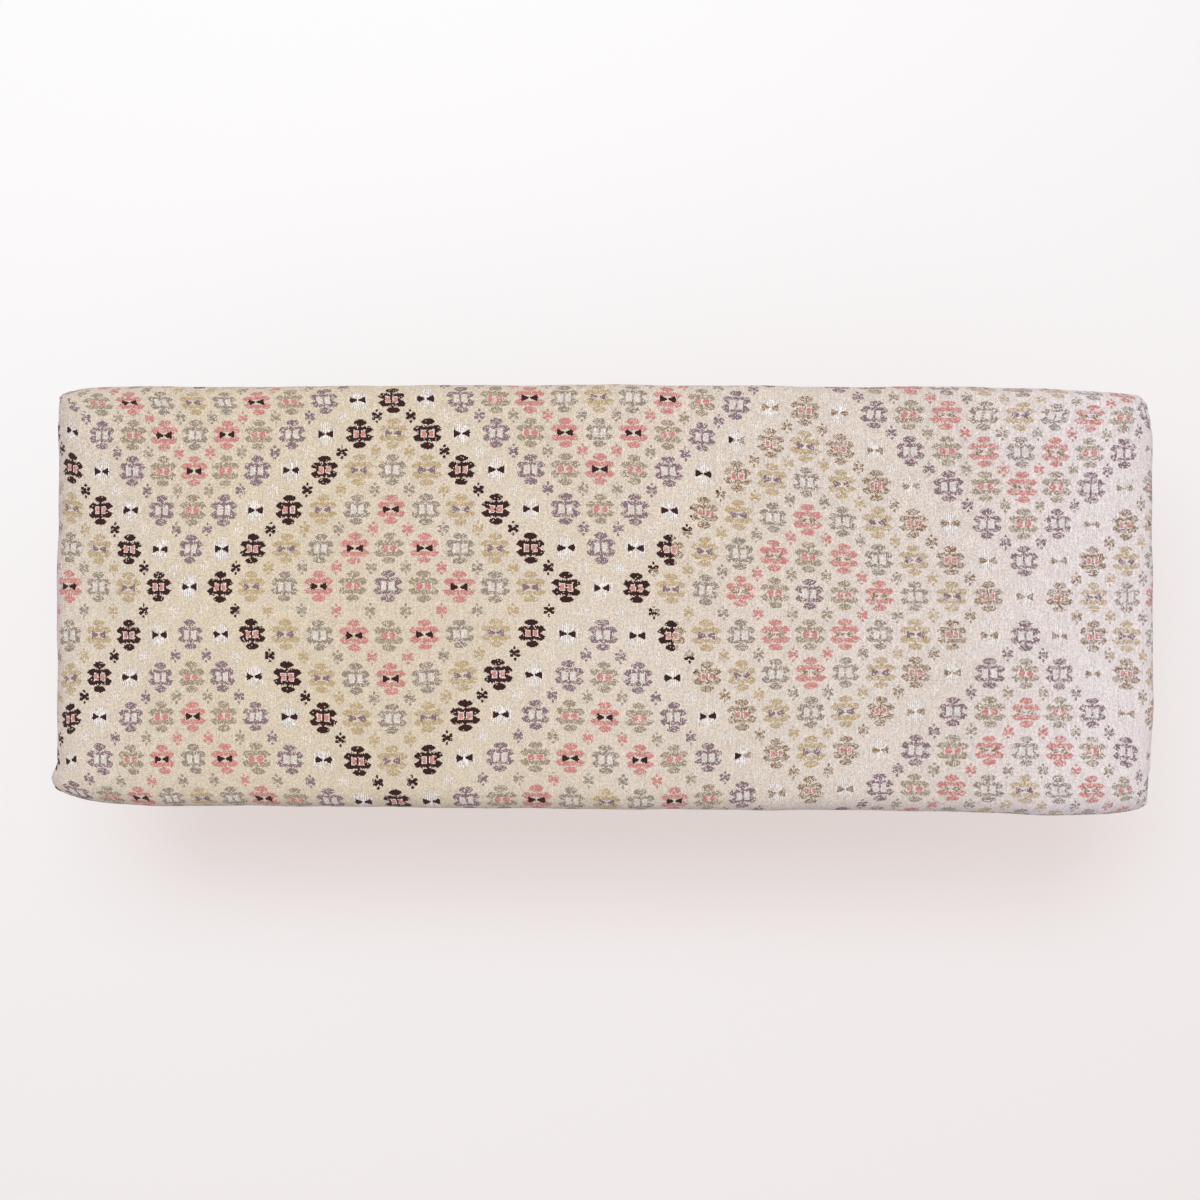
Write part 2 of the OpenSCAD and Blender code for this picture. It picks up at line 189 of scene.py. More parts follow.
# %% Build one soft layer as a grid with sides
def soft_layer(name, nx, ny, depth, steps, low_z, belly, under=()):
    """A mesh of the top, the sides and the rows turned in below, with its flat cloth lengths as UVs."""
    rim_inset = SIDE_SWELL + SHOULDER_R
    points, flat = [], []

    def rim(side, t):
        place, _, _ = on_outline(side, t, rim_inset, CORNER_R, belly * CORNER_DRAW)
        return place

    for j in range(ny + 1):
        for i in range(nx + 1):
            a, b = i / nx, j / ny
            front, back = rim(0, 2 * a - 1), rim(2, 1 - 2 * a)
            left, right = rim(3, 1 - 2 * b), rim(1, 2 * b - 1)
            c00, c10, c01, c11 = rim(0, -1), rim(0, 1), rim(2, 1), rim(2, -1)
            x, y = (
                (1 - b) * front[k] + b * back[k] + (1 - a) * left[k] + a * right[k]
                - (1 - a) * (1 - b) * c00[k] - a * (1 - b) * c10[k]
                - (1 - a) * b * c01[k] - a * b * c11[k]
                for k in (0, 1))
            points.append((x, y, EDGE_Z - depth + crown(x, y)))
            flat.append((x, y))
    faces, uvs = [], []

    def corner_of(i, j):
        return j * (nx + 1) + i

    for j in range(ny):
        for i in range(nx):
            quad = [corner_of(i, j), corner_of(i + 1, j), corner_of(i + 1, j + 1), corner_of(i, j + 1)]
            faces.append(quad)
            uvs.append([flat[v] for v in quad])
    loop = [(0, 2 * i / nx - 1, corner_of(i, 0)) for i in range(nx)]
    loop += [(1, 2 * j / ny - 1, corner_of(nx, j)) for j in range(ny)]
    loop += [(2, 2 * i / nx - 1, corner_of(nx - i, ny)) for i in range(nx)]
    loop += [(3, 2 * j / ny - 1, corner_of(0, ny - j)) for j in range(ny)]
    rows = side_rows(depth, steps, low_z, belly) + list(under)
    above = [v for _, _, v in loop]
    length = [0.0] * len(loop)
    flat_above = {side: [] for side in range(4)}

    def flat_point(side, t, blend, down, s):
        place = rim(side, t)
        along = {0: place[0], 1: place[1], 2: -place[0], 3: -place[1]}[side]
        out = {0: -place[1], 1: place[0], 2: place[1], 3: -place[0]}[side] + down
        along += (s - along) * blend
        return ((along, -out), (out, along), (-along, out), (-out, -along))[side]

    # Each side has its own copy of its two corner columns, so the cloth can break there
    columns = {side: [k for k, (own, _, _) in enumerate(loop) if own == side] for side in range(4)}
    for side in range(4):
        columns[side].append(columns[(side + 1) % 4][0])
        flat_above[side] = [flat_point(side, 2 * c / (len(columns[side]) - 1) - 1, 0, 0, 0)
                            for c in range(len(columns[side]))]
    for row, (inset, corner, draw, z) in enumerate(rows):
        now, now_length = [], []
        for k, (side, t, _) in enumerate(loop):
            place, _, _ = on_outline(side, t, inset, corner, draw * CORNER_DRAW)
            now.append(len(points))
            points.append((place[0], place[1], z))
            now_length.append(length[k] + math.dist(points[above[k]], points[-1]))
        blend = min(1.0, (row + 1) / steps["shoulder"])
        for side in range(4):
            flat_now = []
            for c, k in enumerate(columns[side]):
                t = 2 * c / (len(columns[side]) - 1) - 1
                _, _, s = on_outline(side, t, inset, corner, 0.0)
                flat_now.append(flat_point(side, t, blend, now_length[k], s))
            for c in range(len(columns[side]) - 1):
                k, m = columns[side][c], columns[side][c + 1]
                faces.append([now[k], now[m], above[m], above[k]])
                uvs.append([flat_now[c], flat_now[c + 1], flat_above[side][c + 1], flat_above[side][c]])
            flat_above[side] = flat_now
        above, length = now, now_length
    print(f"{name}: {len(points)} points, {len(faces)} faces, {len(rows)} rows below the rim")
    return cloth_piece(name, points, faces, uvs), above


# %% [markdown]
# The real cover is pulled down over springy padding and stapled under the rails, so it is tight at the
# hem and swells between its edges. A cloth simulation gives that swelling: the hem is pinned, a little
# air pressure stands for the padding, and gravity is off, because the padding carries the cloth. Air
# alone would blow a balloon and pull the shoulder in. Foam does neither, so what the simulation does
# across the surface is kept within the millimetre or so that foam gives.

# %% Swell a cloth against its pinned hem
def swell(piece, pinned, pressure, frames, give_in, give_out, slide):
    start, normal = (read_points(piece.data, kind) for kind in ("co", "normal"))
    group = piece.vertex_groups.new(name="hem")
    group.add(pinned, 1.0, "REPLACE")
    cloth = piece.modifiers.new("cloth", "CLOTH")
    cloth.settings.vertex_group_mass = "hem"
    cloth.settings.quality = 5
    cloth.settings.mass = 0.4
    cloth.settings.tension_stiffness = 30
    cloth.settings.compression_stiffness = 30
    cloth.settings.shear_stiffness = 12
    cloth.settings.bending_stiffness = 2
    cloth.settings.use_pressure = True
    cloth.settings.uniform_pressure_force = pressure
    cloth.settings.effector_weights.gravity = 0
    cloth.point_cache.frame_start = 1
    cloth.point_cache.frame_end = frames
    for step in range(1, frames + 1):
        bpy.context.scene.frame_set(step)
    evaluated = piece.evaluated_get(bpy.context.evaluated_depsgraph_get())
    moved = read_points(evaluated.data, "co")
    piece.modifiers.remove(cloth)
    piece.vertex_groups.clear()
    bpy.context.scene.frame_set(1)
    step = moved - start
    out = (step * normal).sum(axis=1)
    along = step - out[:, None] * normal
    far = np.maximum(np.linalg.norm(along, axis=1), 1e-9)
    along *= (slide * np.tanh(far / slide) / far)[:, None]
    room = np.where(out > 0, give_out, give_in)
    kept = START_IN + room * np.tanh(out / room)
    kept[pinned] = 0
    along[pinned] = 0
    piece.data.vertices.foreach_set("co", (start + kept[:, None] * normal + along).ravel())
    print(f"{piece.name}: air moved it {1000 * out.min():.1f} to {1000 * out.max():.1f} mm, "
          f"kept {1000 * kept.min():.1f} to {1000 * kept.max():.1f} mm")


# %% [markdown]
# Seen from above, no upholsterer's box is a true rectangle. On this one the back edge runs inwards to
# the right, and the front left corner is drawn in where the cloth was folded tightest. Four small pulls,
# each a distance, a reach along the bench and a curve, and a few broad bumps give that outline. They act
# on the padding only, above the deck, because the wooden box below can't give way. Shallow ripples follow
# the shoulder, and the cloth dips a little at each staple of the hem.

# %% Pull the corners and ripple the edges
CORNER_PULLS = {  # side in x, side in y, how far it is drawn in, how far the pull reaches, its curve
    "front left": (-1, -1, 0.014, 0.070, 2.0),
    "front right": (1, -1, 0.003, 0.050, 1.5),
    "back left": (-1, 1, 0.004, 0.600, 0.7),
    "back right": (1, 1, 0.004, 0.120, 1.2),
}
EDGE_BUMPS = [  # edge, place along it, half width, how far out
    ("back", -0.38, 0.060, -0.002),
    ("back", 0.40, 0.070, 0.002),
    ("front", 0.50, 0.100, 0.0055),
    ("front", -0.47, 0.060, 0.002),
    ("back", -0.585, 0.022, -0.004),
    ("left", -0.214, 0.015, 0.0095),
    ("left", 0.205, 0.030, 0.003),
    ("right", 0.222, 0.014, -0.006),
    ("right", -0.105, 0.055, 0.003),
]
PULL_FROM_Z = 0.374
PULL_FULL_Z = 0.414
RIPPLE = 0.0007
STAPLE_DIP = 0.0006
STAPLE_PITCH = 0.042


def shape_by_hand(piece, cloth=True):
    mesh = piece.data
    co, normal = (read_points(mesh, kind) for kind in ("co", "normal"))
    x, y, z = co[:, 0].copy(), co[:, 1].copy(), co[:, 2].copy()
    up = np.clip((z - PULL_FROM_Z) / (PULL_FULL_Z - PULL_FROM_Z), 0, 1)
    up = up * up * (3 - 2 * up)
    for sx, sy, pull, reach, curve in CORNER_PULLS.values():
        near = np.clip(1 - (HALF_L - sx * x) / reach, 0, 1) ** curve
        side = np.clip(sy * y / HALF_D, 0, 1) ** 3
        co[:, 1] -= sy * pull * near * side * up
    for edge, place, half_width, out in EDGE_BUMPS:
        at_end = edge in ("left", "right")
        along, across, half = (y, x, HALF_L) if at_end else (x, y, HALF_D)
        sign = 1 if edge in ("back", "right") else -1
        weight = np.exp(-(((along - place) / half_width) ** 2)) * up
        weight *= np.clip(1 - (half - sign * across) / 0.06, 0, 1) ** 1.5
        co[:, 0 if at_end else 1] += sign * out * weight
    if not cloth:
        mesh.vertices.foreach_set("co", co.ravel())
        return
    around = np.where(np.abs(y) > HALF_D - 0.045, x, y)
    at_rim = np.exp(-(((z - SHOULDER_Z - 0.010) / 0.018) ** 2))
    ripple = np.sin(around * 61 + 1.3 * y) * np.sin(around * 23 + 0.7) + 0.5 * np.sin(around * 37 + 2.1)
    dip = np.cos(2 * math.pi * around / STAPLE_PITCH) * np.exp(-(((z - HEM_Z) / 0.030) ** 2))
    outside = np.maximum(np.abs(x) / HALF_L, np.abs(y) / HALF_D) > 0.9
    co += normal * ((RIPPLE * ripple * at_rim + STAPLE_DIP * dip) * outside)[:, None]
    mesh.vertices.foreach_set("co", co.ravel())
    mesh.update()


# %% [markdown]
# A mesh is finished by one subdivision, which rounds the steps of the grid, and by a thickness to the
# inside. Both are modifiers, and the evaluated result is kept as a plain mesh, so the piece that is
# handed on has no live modifier.

# %% Turn a piece with modifiers into a plain mesh
def make_plain(piece, subdivide=1, thickness=0.0):
    if subdivide:
        smooth = piece.modifiers.new("smooth", "SUBSURF")
        smooth.levels = subdivide
        smooth.render_levels = subdivide
        smooth.uv_smooth = "NONE"
        smooth.boundary_smooth = "PRESERVE_CORNERS"
    if thickness:
        thick = piece.modifiers.new("thick", "SOLIDIFY")
        thick.thickness = thickness
        thick.offset = -1
    evaluated = piece.evaluated_get(bpy.context.evaluated_depsgraph_get())
    mesh = bpy.data.meshes.new_from_object(evaluated)
    mesh.name = piece.name
    piece.modifiers.clear()
    piece.data = mesh
    print(f"{piece.name}: {len(mesh.polygons)} faces as a plain mesh")


# %% [markdown]
# The cover starts 3 mm inside its final place and swells out to it. Its last rows turn under the rails
# and make the hem.

# %% Make the cover
START_IN = 0.003
COVER_STEPS = {"shoulder": 4, "side": 11}
HEM_FOLD = 0.0015
COVER_CELLS = (96, 34)
hem_rows = [
    (SIDE_SWELL + HEM_FOLD, CORNER_R - HEM_FOLD, 0.0, HEM_Z),
    (SIDE_SWELL + 0.5 * HEM_IN, 0.008, 0.0, HEM_Z),
    (HEM_IN, 0.003, 0.0, HEM_Z),
]
cover, _ = soft_layer(
    "cover_cloth", *COVER_CELLS, START_IN, COVER_STEPS, HEM_Z + HEM_FOLD, 1.0, under=hem_rows)
hem_from = len(cover.data.vertices) - (len(hem_rows) + 1) * 2 * sum(COVER_CELLS)
hem = list(range(hem_from, len(cover.data.vertices)))
swell(cover, hem, pressure=1.2, frames=16, give_in=0.0004, give_out=0.0008, slide=0.0012)
make_plain(cover, subdivide=1)
shape_by_hand(cover)


# %% [markdown]
# Flat cloth can't turn a corner without some to spare. The upholsterer lays what is left over in a
# pleat: pointed at the shoulder, wider towards the hem, and flat on the end of the bench, where it shows
# least. It could be pushed out of the cover's own mesh, but a fold has an edge with another layer under
# it, so it is a strip of its own. Each of its points is found by looking straight at the cover from
# outside, so the strip follows every bulge.

# %% Fold the cloth at each corner
FOLD_WIDTH = (0.004, 0.017)
FOLD_FROM_CORNER = 0.003
FOLD_TOP_Z = SHOULDER_Z + 0.008
FOLD_STEPS = 30
FOLD_SECTION = [  # share of the width, height above the cover
    (0.00, -0.0004), (0.20, 0.0006), (0.40, 0.0014), (0.65, 0.0018), (0.85, 0.0018),
    (0.93, 0.0015), (0.98, 0.0009), (1.00, -0.0005),
]
STITCH_PITCH = 0.0085
THREAD_RADIUS = 0.00032


def looked_at(tree, start, direction):
    return tree.ray_cast(start, direction)[0]


def make_folds():
    tree = BVHTree.FromPolygons(
        [v.co for v in cover.data.vertices], [f.vertices for f in cover.data.polygons])
    points, faces, flat, seams = [], [], [], []
    for sx in (-1, 1):
        for sy in (-1, 1):
            first = len(points)
            seam = []
            for i in range(FOLD_STEPS + 1):
                h = i / FOLD_STEPS
                z = FOLD_TOP_Z + h * (HEM_Z + 0.0022 - FOLD_TOP_Z)
                pucker = 0.0004 * math.cos(2 * math.pi * z / STITCH_PITCH)
                width = FOLD_WIDTH[0] + (FOLD_WIDTH[1] - FOLD_WIDTH[0]) * h ** 0.7 + pucker
                side = looked_at(tree, (sx * (HALF_L - 0.012), sy, z), (0, -sy, 0)).y
                corner = side - sy * FOLD_FROM_CORNER
                lie_down = min(1.0, 0.3 + 8 * h, 0.25 + 12 * (1 - h))
                for share, rise in FOLD_SECTION:
                    y = corner - sy * width * share
                    x = looked_at(tree, (sx, y, z), (-sx, 0, 0)).x
                    points.append((x + sx * rise * lie_down, y, z))
                    down = SHOULDER_R * math.pi / 2 + SHOULDER_Z - z
                    flat.append((sx * (HALF_L - 0.004 + width * share), sy * (HALF_D - 0.034 + down)))
                seam.append((points[-1][0] + sx * 0.0006, points[-1][1], z))
            seams.append((sx, seam))
            n = len(FOLD_SECTION)
            for i in range(FOLD_STEPS):
                for k in range(n - 1):
                    a = first + i * n + k
                    quad = [a, a + 1, a + n + 1, a + n]
                    faces.append(quad if sx * sy < 0 else quad[::-1])
    piece = cloth_piece("corner_folds", points, faces, [flat[v] for f in faces for v in f])
    make_plain(piece, subdivide=1)
    return piece, seams


folds, fold_seams = make_folds()


# %% [markdown]
# Each pleat is closed by hand with a ladder of small stitches. They repeat along a line, so nodes set
# them: the line becomes a curve with a point every few millimetres, and every point gets one short arch
# of thread that stands across the line and faces away from the bench.

# %% Stitches along the folds
def node_maker(tree):
    def add(kind, **values):
        node = tree.nodes.new(kind)
        for key, value in values.items():
            setattr(node, key, value)
        return node
    return add


def stitch_nodes(material):
    tree = bpy.data.node_groups.new("ladder of stitches", "GeometryNodeTree")
    face = tree.interface
    face.new_socket("Geometry", in_out="INPUT", socket_type="NodeSocketGeometry")
    pitch = face.new_socket("Pitch", in_out="INPUT", socket_type="NodeSocketFloat")
    thread = face.new_socket("Thread", in_out="INPUT", socket_type="NodeSocketFloat")
    face.new_socket("Geometry", in_out="OUTPUT", socket_type="NodeSocketGeometry")
    add = node_maker(tree)
    link = tree.links.new
    start, end = add("NodeGroupInput"), add("NodeGroupOutput")
    line = add("GeometryNodeMeshToCurve")
    spaced = add("GeometryNodeResampleCurve", mode="LENGTH")
    link(start.outputs["Geometry"], line.inputs["Mesh"])
    link(line.outputs["Curve"], spaced.inputs["Curve"])
    link(start.outputs["Pitch"], spaced.inputs["Length"])

    arch = add("GeometryNodeCurveQuadraticBezier")
    arch.inputs["Resolution"].default_value = 6
    arch.inputs["Start"].default_value = (-0.0016, -0.0008, -0.0005)
    arch.inputs["Middle"].default_value = (0.0, 0.0, 0.0020)
    arch.inputs["End"].default_value = (0.0016, 0.0008, -0.0005)
    ring = add("GeometryNodeCurvePrimitiveCircle")
    ring.inputs["Resolution"].default_value = 6
    link(start.outputs["Thread"], ring.inputs["Radius"])
    solid = add("GeometryNodeCurveToMesh")
    solid.inputs["Fill Caps"].default_value = True
    link(arch.outputs["Curve"], solid.inputs["Curve"])
    link(ring.outputs["Curve"], solid.inputs["Profile Curve"])

    facing = add("GeometryNodeInputNamedAttribute", data_type="FLOAT_VECTOR")
    facing.inputs["Name"].default_value = "facing"
    tangent = add("GeometryNodeInputTangent")
    outward = add("FunctionNodeAlignRotationToVector", axis="Z")
    along = add("FunctionNodeAlignRotationToVector", axis="Y", pivot_axis="Z")
    link(facing.outputs["Attribute"], outward.inputs["Vector"])
    link(outward.outputs["Rotation"], along.inputs["Rotation"])
    link(tangent.outputs["Tangent"], along.inputs["Vector"])
    uneven = add("FunctionNodeRandomValue", data_type="FLOAT")
    for socket, value in (("Min", 0.85), ("Max", 1.15)):
        next(i for i in uneven.inputs if i.name == socket and i.type == "VALUE").default_value = value
    next(i for i in uneven.inputs if i.name == "Seed").default_value = 4
    placed = add("GeometryNodeInstanceOnPoints")
    link(spaced.outputs["Curve"], placed.inputs["Points"])
    link(solid.outputs["Mesh"], placed.inputs["Instance"])
    link(along.outputs["Rotation"], placed.inputs["Rotation"])
    link(next(o for o in uneven.outputs if o.type == "VALUE"), placed.inputs["Scale"])
    real = add("GeometryNodeRealizeInstances")
    painted = add("GeometryNodeSetMaterial")
    painted.inputs["Material"].default_value = material
    link(placed.outputs["Instances"], real.inputs["Geometry"])
    link(real.outputs["Geometry"], painted.inputs["Geometry"])
    link(painted.outputs["Geometry"], end.inputs["Geometry"])
    return tree, pitch, thread


def stitch_folds(material):
    points, edges, facing = [], [], []
    for sx, seam in fold_seams:
        first = len(points)
        points += seam
        facing += [(sx, 0, 0)] * len(seam)
        edges += [(first + i, first + i + 1) for i in range(len(seam) - 1)]
    mesh = bpy.data.meshes.new("fold_stitches")
    mesh.from_pydata(points, edges, [])
    mesh.attributes.new("facing", "FLOAT_VECTOR", "POINT").data.foreach_set("vector", np.ravel(facing))
    piece = new_piece("fold_stitches", mesh)
    tree, pitch, thread = stitch_nodes(material)
    nodes = piece.modifiers.new("stitches", "NODES")
    nodes.node_group = tree
    nodes[pitch.identifier] = STITCH_PITCH
    nodes[thread.identifier] = THREAD_RADIUS
    make_plain(piece, subdivide=0)
    return piece


# %% [markdown]
# Under the cover lies a wrap of polyester wadding, 6 mm thick where the cover presses it, down to the
# bottom of the rails. It hides the edges of the wood and makes the shoulder soft. Under that is the foam,
# cut to the deck with its upper edges eased. Both are made by the same function as the cover, so they
# follow it inwards layer by layer. They aren't simulated, because they can't be seen: they only have to
# fill the cover as the real ones do.

# %% Make the wadding and the foam
WADDING_IN = 0.0028
WADDING_T = 0.006
FOAM_IN = 0.0091
deck_low, deck_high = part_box("seat_deck")
wadding, _ = soft_layer(
    "wadding_wrap", 60, 22, WADDING_IN, {"shoulder": 4, "side": 6}, rail_low[2], 1.0)
make_plain(wadding, subdivide=1)
shape_by_hand(wadding, cloth=False)
make_plain(wadding, subdivide=0, thickness=WADDING_T)

foam, foam_foot = soft_layer(
    "foam_slab", 60, 22, FOAM_IN, {"shoulder": 4, "side": 3}, deck_high[2] + 0.0002, 0.0)
shape_by_hand(foam, cloth=False)


def close_below(piece, ring, z):
    """Closes an open foot with a flat fan of triangles."""
    mesh = bmesh.new()
    mesh.from_mesh(piece.data)
    mesh.verts.ensure_lookup_table()
    foot = [mesh.verts[v] for v in ring]
    middle = mesh.verts.new((0.0, 0.0, z))
    for k, v in enumerate(foot):
        mesh.faces.new((foot[(k + 1) % len(foot)], v, middle))
    mesh.to_mesh(piece.data)
    mesh.free()


close_below(foam, foam_foot, deck_high[2] + 0.0002)

# %% [markdown]
# The dust cover is a thin black sheet of spun fibres, stapled under the frame. It keeps dust from
# falling out of the seat. It is a flat grid with a round opening for each leg, and it sags a little
# between its staples.

# %% Make the dust sheet
dust_low, dust_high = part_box("dust_cover")
DUST_CELL = 0.0075
DUST_SAG = 0.003
DUST_T = 0.0006
LEG_GAP = 0.003
LEG_NAMES = [f"{a}_{b}_leg" for a in ("front", "back") for b in ("left", "right")]


def leg_hole(name):
    low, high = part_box(name)
    return (low[0] + high[0]) / 2, (low[1] + high[1]) / 2, (high[0] - low[0]) / 2 + LEG_GAP


def make_dust_sheet():
    size_x, size_y = dust_high[0] - dust_low[0], dust_high[1] - dust_low[1]
    nx, ny = round(size_x / DUST_CELL), round(size_y / DUST_CELL)
    holes = [leg_hole(name) for name in LEG_NAMES]
    mesh = bmesh.new()
    bmesh.ops.create_grid(mesh, x_segments=nx, y_segments=ny, size=0.5)
    for v in mesh.verts:
        v.co.x *= size_x
        v.co.y *= size_y
        edge = min([size_x / 2 - abs(v.co.x), size_y / 2 - abs(v.co.y)] + [
            1.5 * max(math.dist(v.co[:2], (x, y)) - hole, 0) for x, y, hole in holes])
        v.co.z = (dust_low[2] + dust_high[2]) / 2 - DUST_SAG * min(edge / 0.06, 1) ** 2 * (
            0.75 + 0.25 * math.sin(31 * v.co.x + 2 * math.sin(17 * v.co.y)))
    for x, y, hole in holes:
        inside = {v for v in mesh.verts if math.dist(v.co[:2], (x, y)) < hole}
        rim = {n for v in inside for f in v.link_faces for n in f.verts} - inside
        bmesh.ops.delete(mesh, geom=list(inside), context="VERTS")
        for v in rim:
            if v.is_valid:
                far = math.dist(v.co[:2], (x, y))
                v.co.x = x + (v.co.x - x) * hole / far
                v.co.y = y + (v.co.y - y) * hole / far
    data = bpy.data.meshes.new("dust_sheet")
    mesh.to_mesh(data)
    mesh.free()
    data.polygons.foreach_set("use_smooth", [True] * len(data.polygons))
    return new_piece("dust_sheet", data)


dust = make_dust_sheet()
make_plain(dust, subdivide=0, thickness=DUST_T)


# %% [markdown]
# The pattern is a traditional one: rows of small six-petalled medallions, brocaded on a plain ground,
# with a little flower between every four of them. A medallion's colours follow from its distance, in
# columns plus rows, to the middle of a diamond, and they repeat every seven steps. Hand weaving isn't
# even, so the columns and rows have their own spacings. They are kept in two more UV maps: the place
# counted in columns and rows, and the spacing there. A material can then draw each medallion in
# millimetres round its own middle.

# %% The weaver's spacings
COLUMN_ZERO_MM = -229.5
COLUMN_STEPS_MM = [(-4, 34.0), (0, 36.5), (6, 37.8), (12, 37.0), (15, 37.6), (18, 40.2), (30, 37.6)]
COLUMN_LEAN = 0.026
COLUMN_BOW_MM = 4.8
COLUMN_BACK_MM = 3.2
COLUMN_END_MM = 4
FRONT_PULL_MM = (17, 9)
MAIN_STEP_MM = 38.0
MIDDLE_ROW = 5
MIDDLE_ROW_MM = (10, 3)
LEFT_END_DROP_MM = 3
ROW_WAVE_MM = 3.6
ROW_LIFT_MM = 2.4
ROW_STEPS_LEFT_MM = [39, 40, 43, 42, 41, 52, 46, 43, 46, 48]
ROW_STEPS_RIGHT_MM = [40, 38, 40, 40, 39, 42, 41, 42, 42, 42]
ROW_STEP_MM = 41


def column_at(x_mm, y_mm):
    """Column and spacing at a place on the cloth."""
    right = within((x_mm + 250) / 250)
    bow = COLUMN_BOW_MM * math.exp(-((y_mm / 80) ** 2) - ((x_mm + 350) / 220) ** 2)
    bow += COLUMN_END_MM * math.exp(-(((x_mm - 560) / 70) ** 2)) * within(-y_mm / 120)
    bow -= COLUMN_BACK_MM * math.exp(-(((y_mm + 130) / 60) ** 2) - ((x_mm + 130) / 100) ** 2)
    # Where the cloth turns down at the front, it is drawn in towards the middle of the bench
    turned = within((-y_mm - 185) / 40)
    bow += turned * (x_mm - 20) / 540 * FRONT_PULL_MM[x_mm > 20]
    x = x_mm + COLUMN_LEAN * right * y_mm + bow - COLUMN_ZERO_MM
    start, column = 4 * -COLUMN_STEPS_MM[1][1], -4
    if x < start:
        return column + (x - start) / COLUMN_STEPS_MM[0][1], COLUMN_STEPS_MM[0][1]
    for last, step in COLUMN_STEPS_MM[1:]:
        end = start + (last - column) * step
        if x < end:
            return column + (x - start) / step, step
        start, column = end, last
    return column, step


def row_at(y_mm, x_mm):
    """Row, counted from the back, and spacing at a place on the cloth."""
    share = within(x_mm / 310)
    share = share * share * (3 - 2 * share)
    y = MIDDLE_ROW_MM[0] + (MIDDLE_ROW_MM[1] - MIDDLE_ROW_MM[0]) * share
    y -= LEFT_END_DROP_MM * within((-x_mm - 250) / 250)
    wave = math.sin((x_mm + 170) / 60) * math.exp(-(((x_mm + 170) / 190) ** 2))
    y += ROW_WAVE_MM * wave * within(-y_mm / 60)
    y += ROW_LIFT_MM * math.exp(-(((x_mm - 20) / 190) ** 2)) * within((y_mm - 20) / 30)
    row = MIDDLE_ROW

    def step_of(r):
        if not 0 <= r < len(ROW_STEPS_LEFT_MM):
            return ROW_STEP_MM
        return ROW_STEPS_LEFT_MM[r] + (ROW_STEPS_RIGHT_MM[r] - ROW_STEPS_LEFT_MM[r]) * share

    while y - step_of(row) > y_mm:
        y -= step_of(row)
        row += 1
    while y < y_mm:
        row -= 1
        y += step_of(row)
    return row + (y - y_mm) / step_of(row), step_of(row)


# %% Write the place and the spacing as UV maps
def count_the_cloth(piece):
    mesh = piece.data
    n = len(mesh.loops)
    flat = np.empty(2 * n)
    mesh.uv_layers["cloth"].data.foreach_get("uv", flat)
    flat = flat.reshape(-1, 2) * 1000
    place = np.empty((n, 2))
    spacing = np.empty((n, 2))
    for k, (x, y) in enumerate(flat):
        place[k, 0], spacing[k, 0] = column_at(x, y)
        place[k, 1], spacing[k, 1] = row_at(y, x)
    mesh.uv_layers.new(name="count").data.foreach_set("uv", place.ravel())
    mesh.uv_layers.new(name="spacing").data.foreach_set("uv", spacing.ravel())
    print(f"{piece.name}: columns {place[:, 0].min():.1f} to {place[:, 0].max():.1f}, "
          f"rows {place[:, 1].min():.1f} to {place[:, 1].max():.1f}")


count_the_cloth(cover)
count_the_cloth(folds)


# %% [markdown]
# A material of this kind is mostly arithmetic, so a small helper makes it readable: a Wire is a value in
# a material's node tree, and adding, multiplying or comparing two of them adds the Math node that does
# it. Colours are written as the eye sees them and turned into the linear numbers that shaders use.

# %% A helper for arithmetic in materials
class Wire:
    def __init__(self, tree, socket):
        self.tree = tree
        self.socket = socket

    def math(self, kind, *others, clamp=False):
        node = self.tree.nodes.new("ShaderNodeMath")
        node.operation = kind
        node.use_clamp = clamp
        for slot, value in zip(node.inputs, (self,) + others):
            plug(self.tree, slot, value)
        return Wire(self.tree, node.outputs[0])

    def clamped(self):
        return self.math("ADD", 0, clamp=True)

    def __add__(self, other):
        return self.math("ADD", other)

    def __radd__(self, other):
        return self.math("ADD", other)

    def __sub__(self, other):
        return self.math("SUBTRACT", other)

    def __rsub__(self, other):
        return (self * -1) + other

    def __mul__(self, other):
        return self.math("MULTIPLY", other)

    def __rmul__(self, other):
        return self.math("MULTIPLY", other)

    def __truediv__(self, other):
        return self.math("DIVIDE", other)

    def __gt__(self, other):
        return self.math("GREATER_THAN", other)

    def __lt__(self, other):
        return self.math("LESS_THAN", other)

    def __abs__(self):
        return self.math("ABSOLUTE")


def plug(tree, socket, value):
    if isinstance(value, Wire):
        tree.links.new(value.socket, socket)
    else:
        socket.default_value = value


def linear(red, green, blue):
    """The linear colour of one written in steps of 0 to 255."""
    out = []
    for c in (red, green, blue):
        c /= 255
        out.append(c / 12.92 if c <= 0.04045 else ((c + 0.055) / 1.055) ** 2.4)
    return (*out, 1.0)


# %% Start a material, and the nodes that most of them use
def new_material(name, roughness, **constants):
    mat = bpy.data.materials.new(name)
    mat.use_nodes = True
    shader = mat.node_tree.nodes["Principled BSDF"]
    shader.inputs["Roughness"].default_value = roughness
    for key, value in constants.items():
        shader.inputs[key.replace("_", " ")].default_value = value
    return mat, mat.node_tree, shader


def split(tree, vector):
    node = tree.nodes.new("ShaderNodeSeparateXYZ")
    tree.links.new(vector, node.inputs[0])
    return [Wire(tree, s) for s in node.outputs]


def join(tree, x, y, z=0.0):
    node = tree.nodes.new("ShaderNodeCombineXYZ")
    for slot, value in zip(node.inputs, (x, y, z)):
        plug(tree, slot, value)
    return node.outputs[0]


def uv_map(tree, name):
    node = tree.nodes.new("ShaderNodeUVMap")
    node.uv_map = name
    return node.outputs[0]


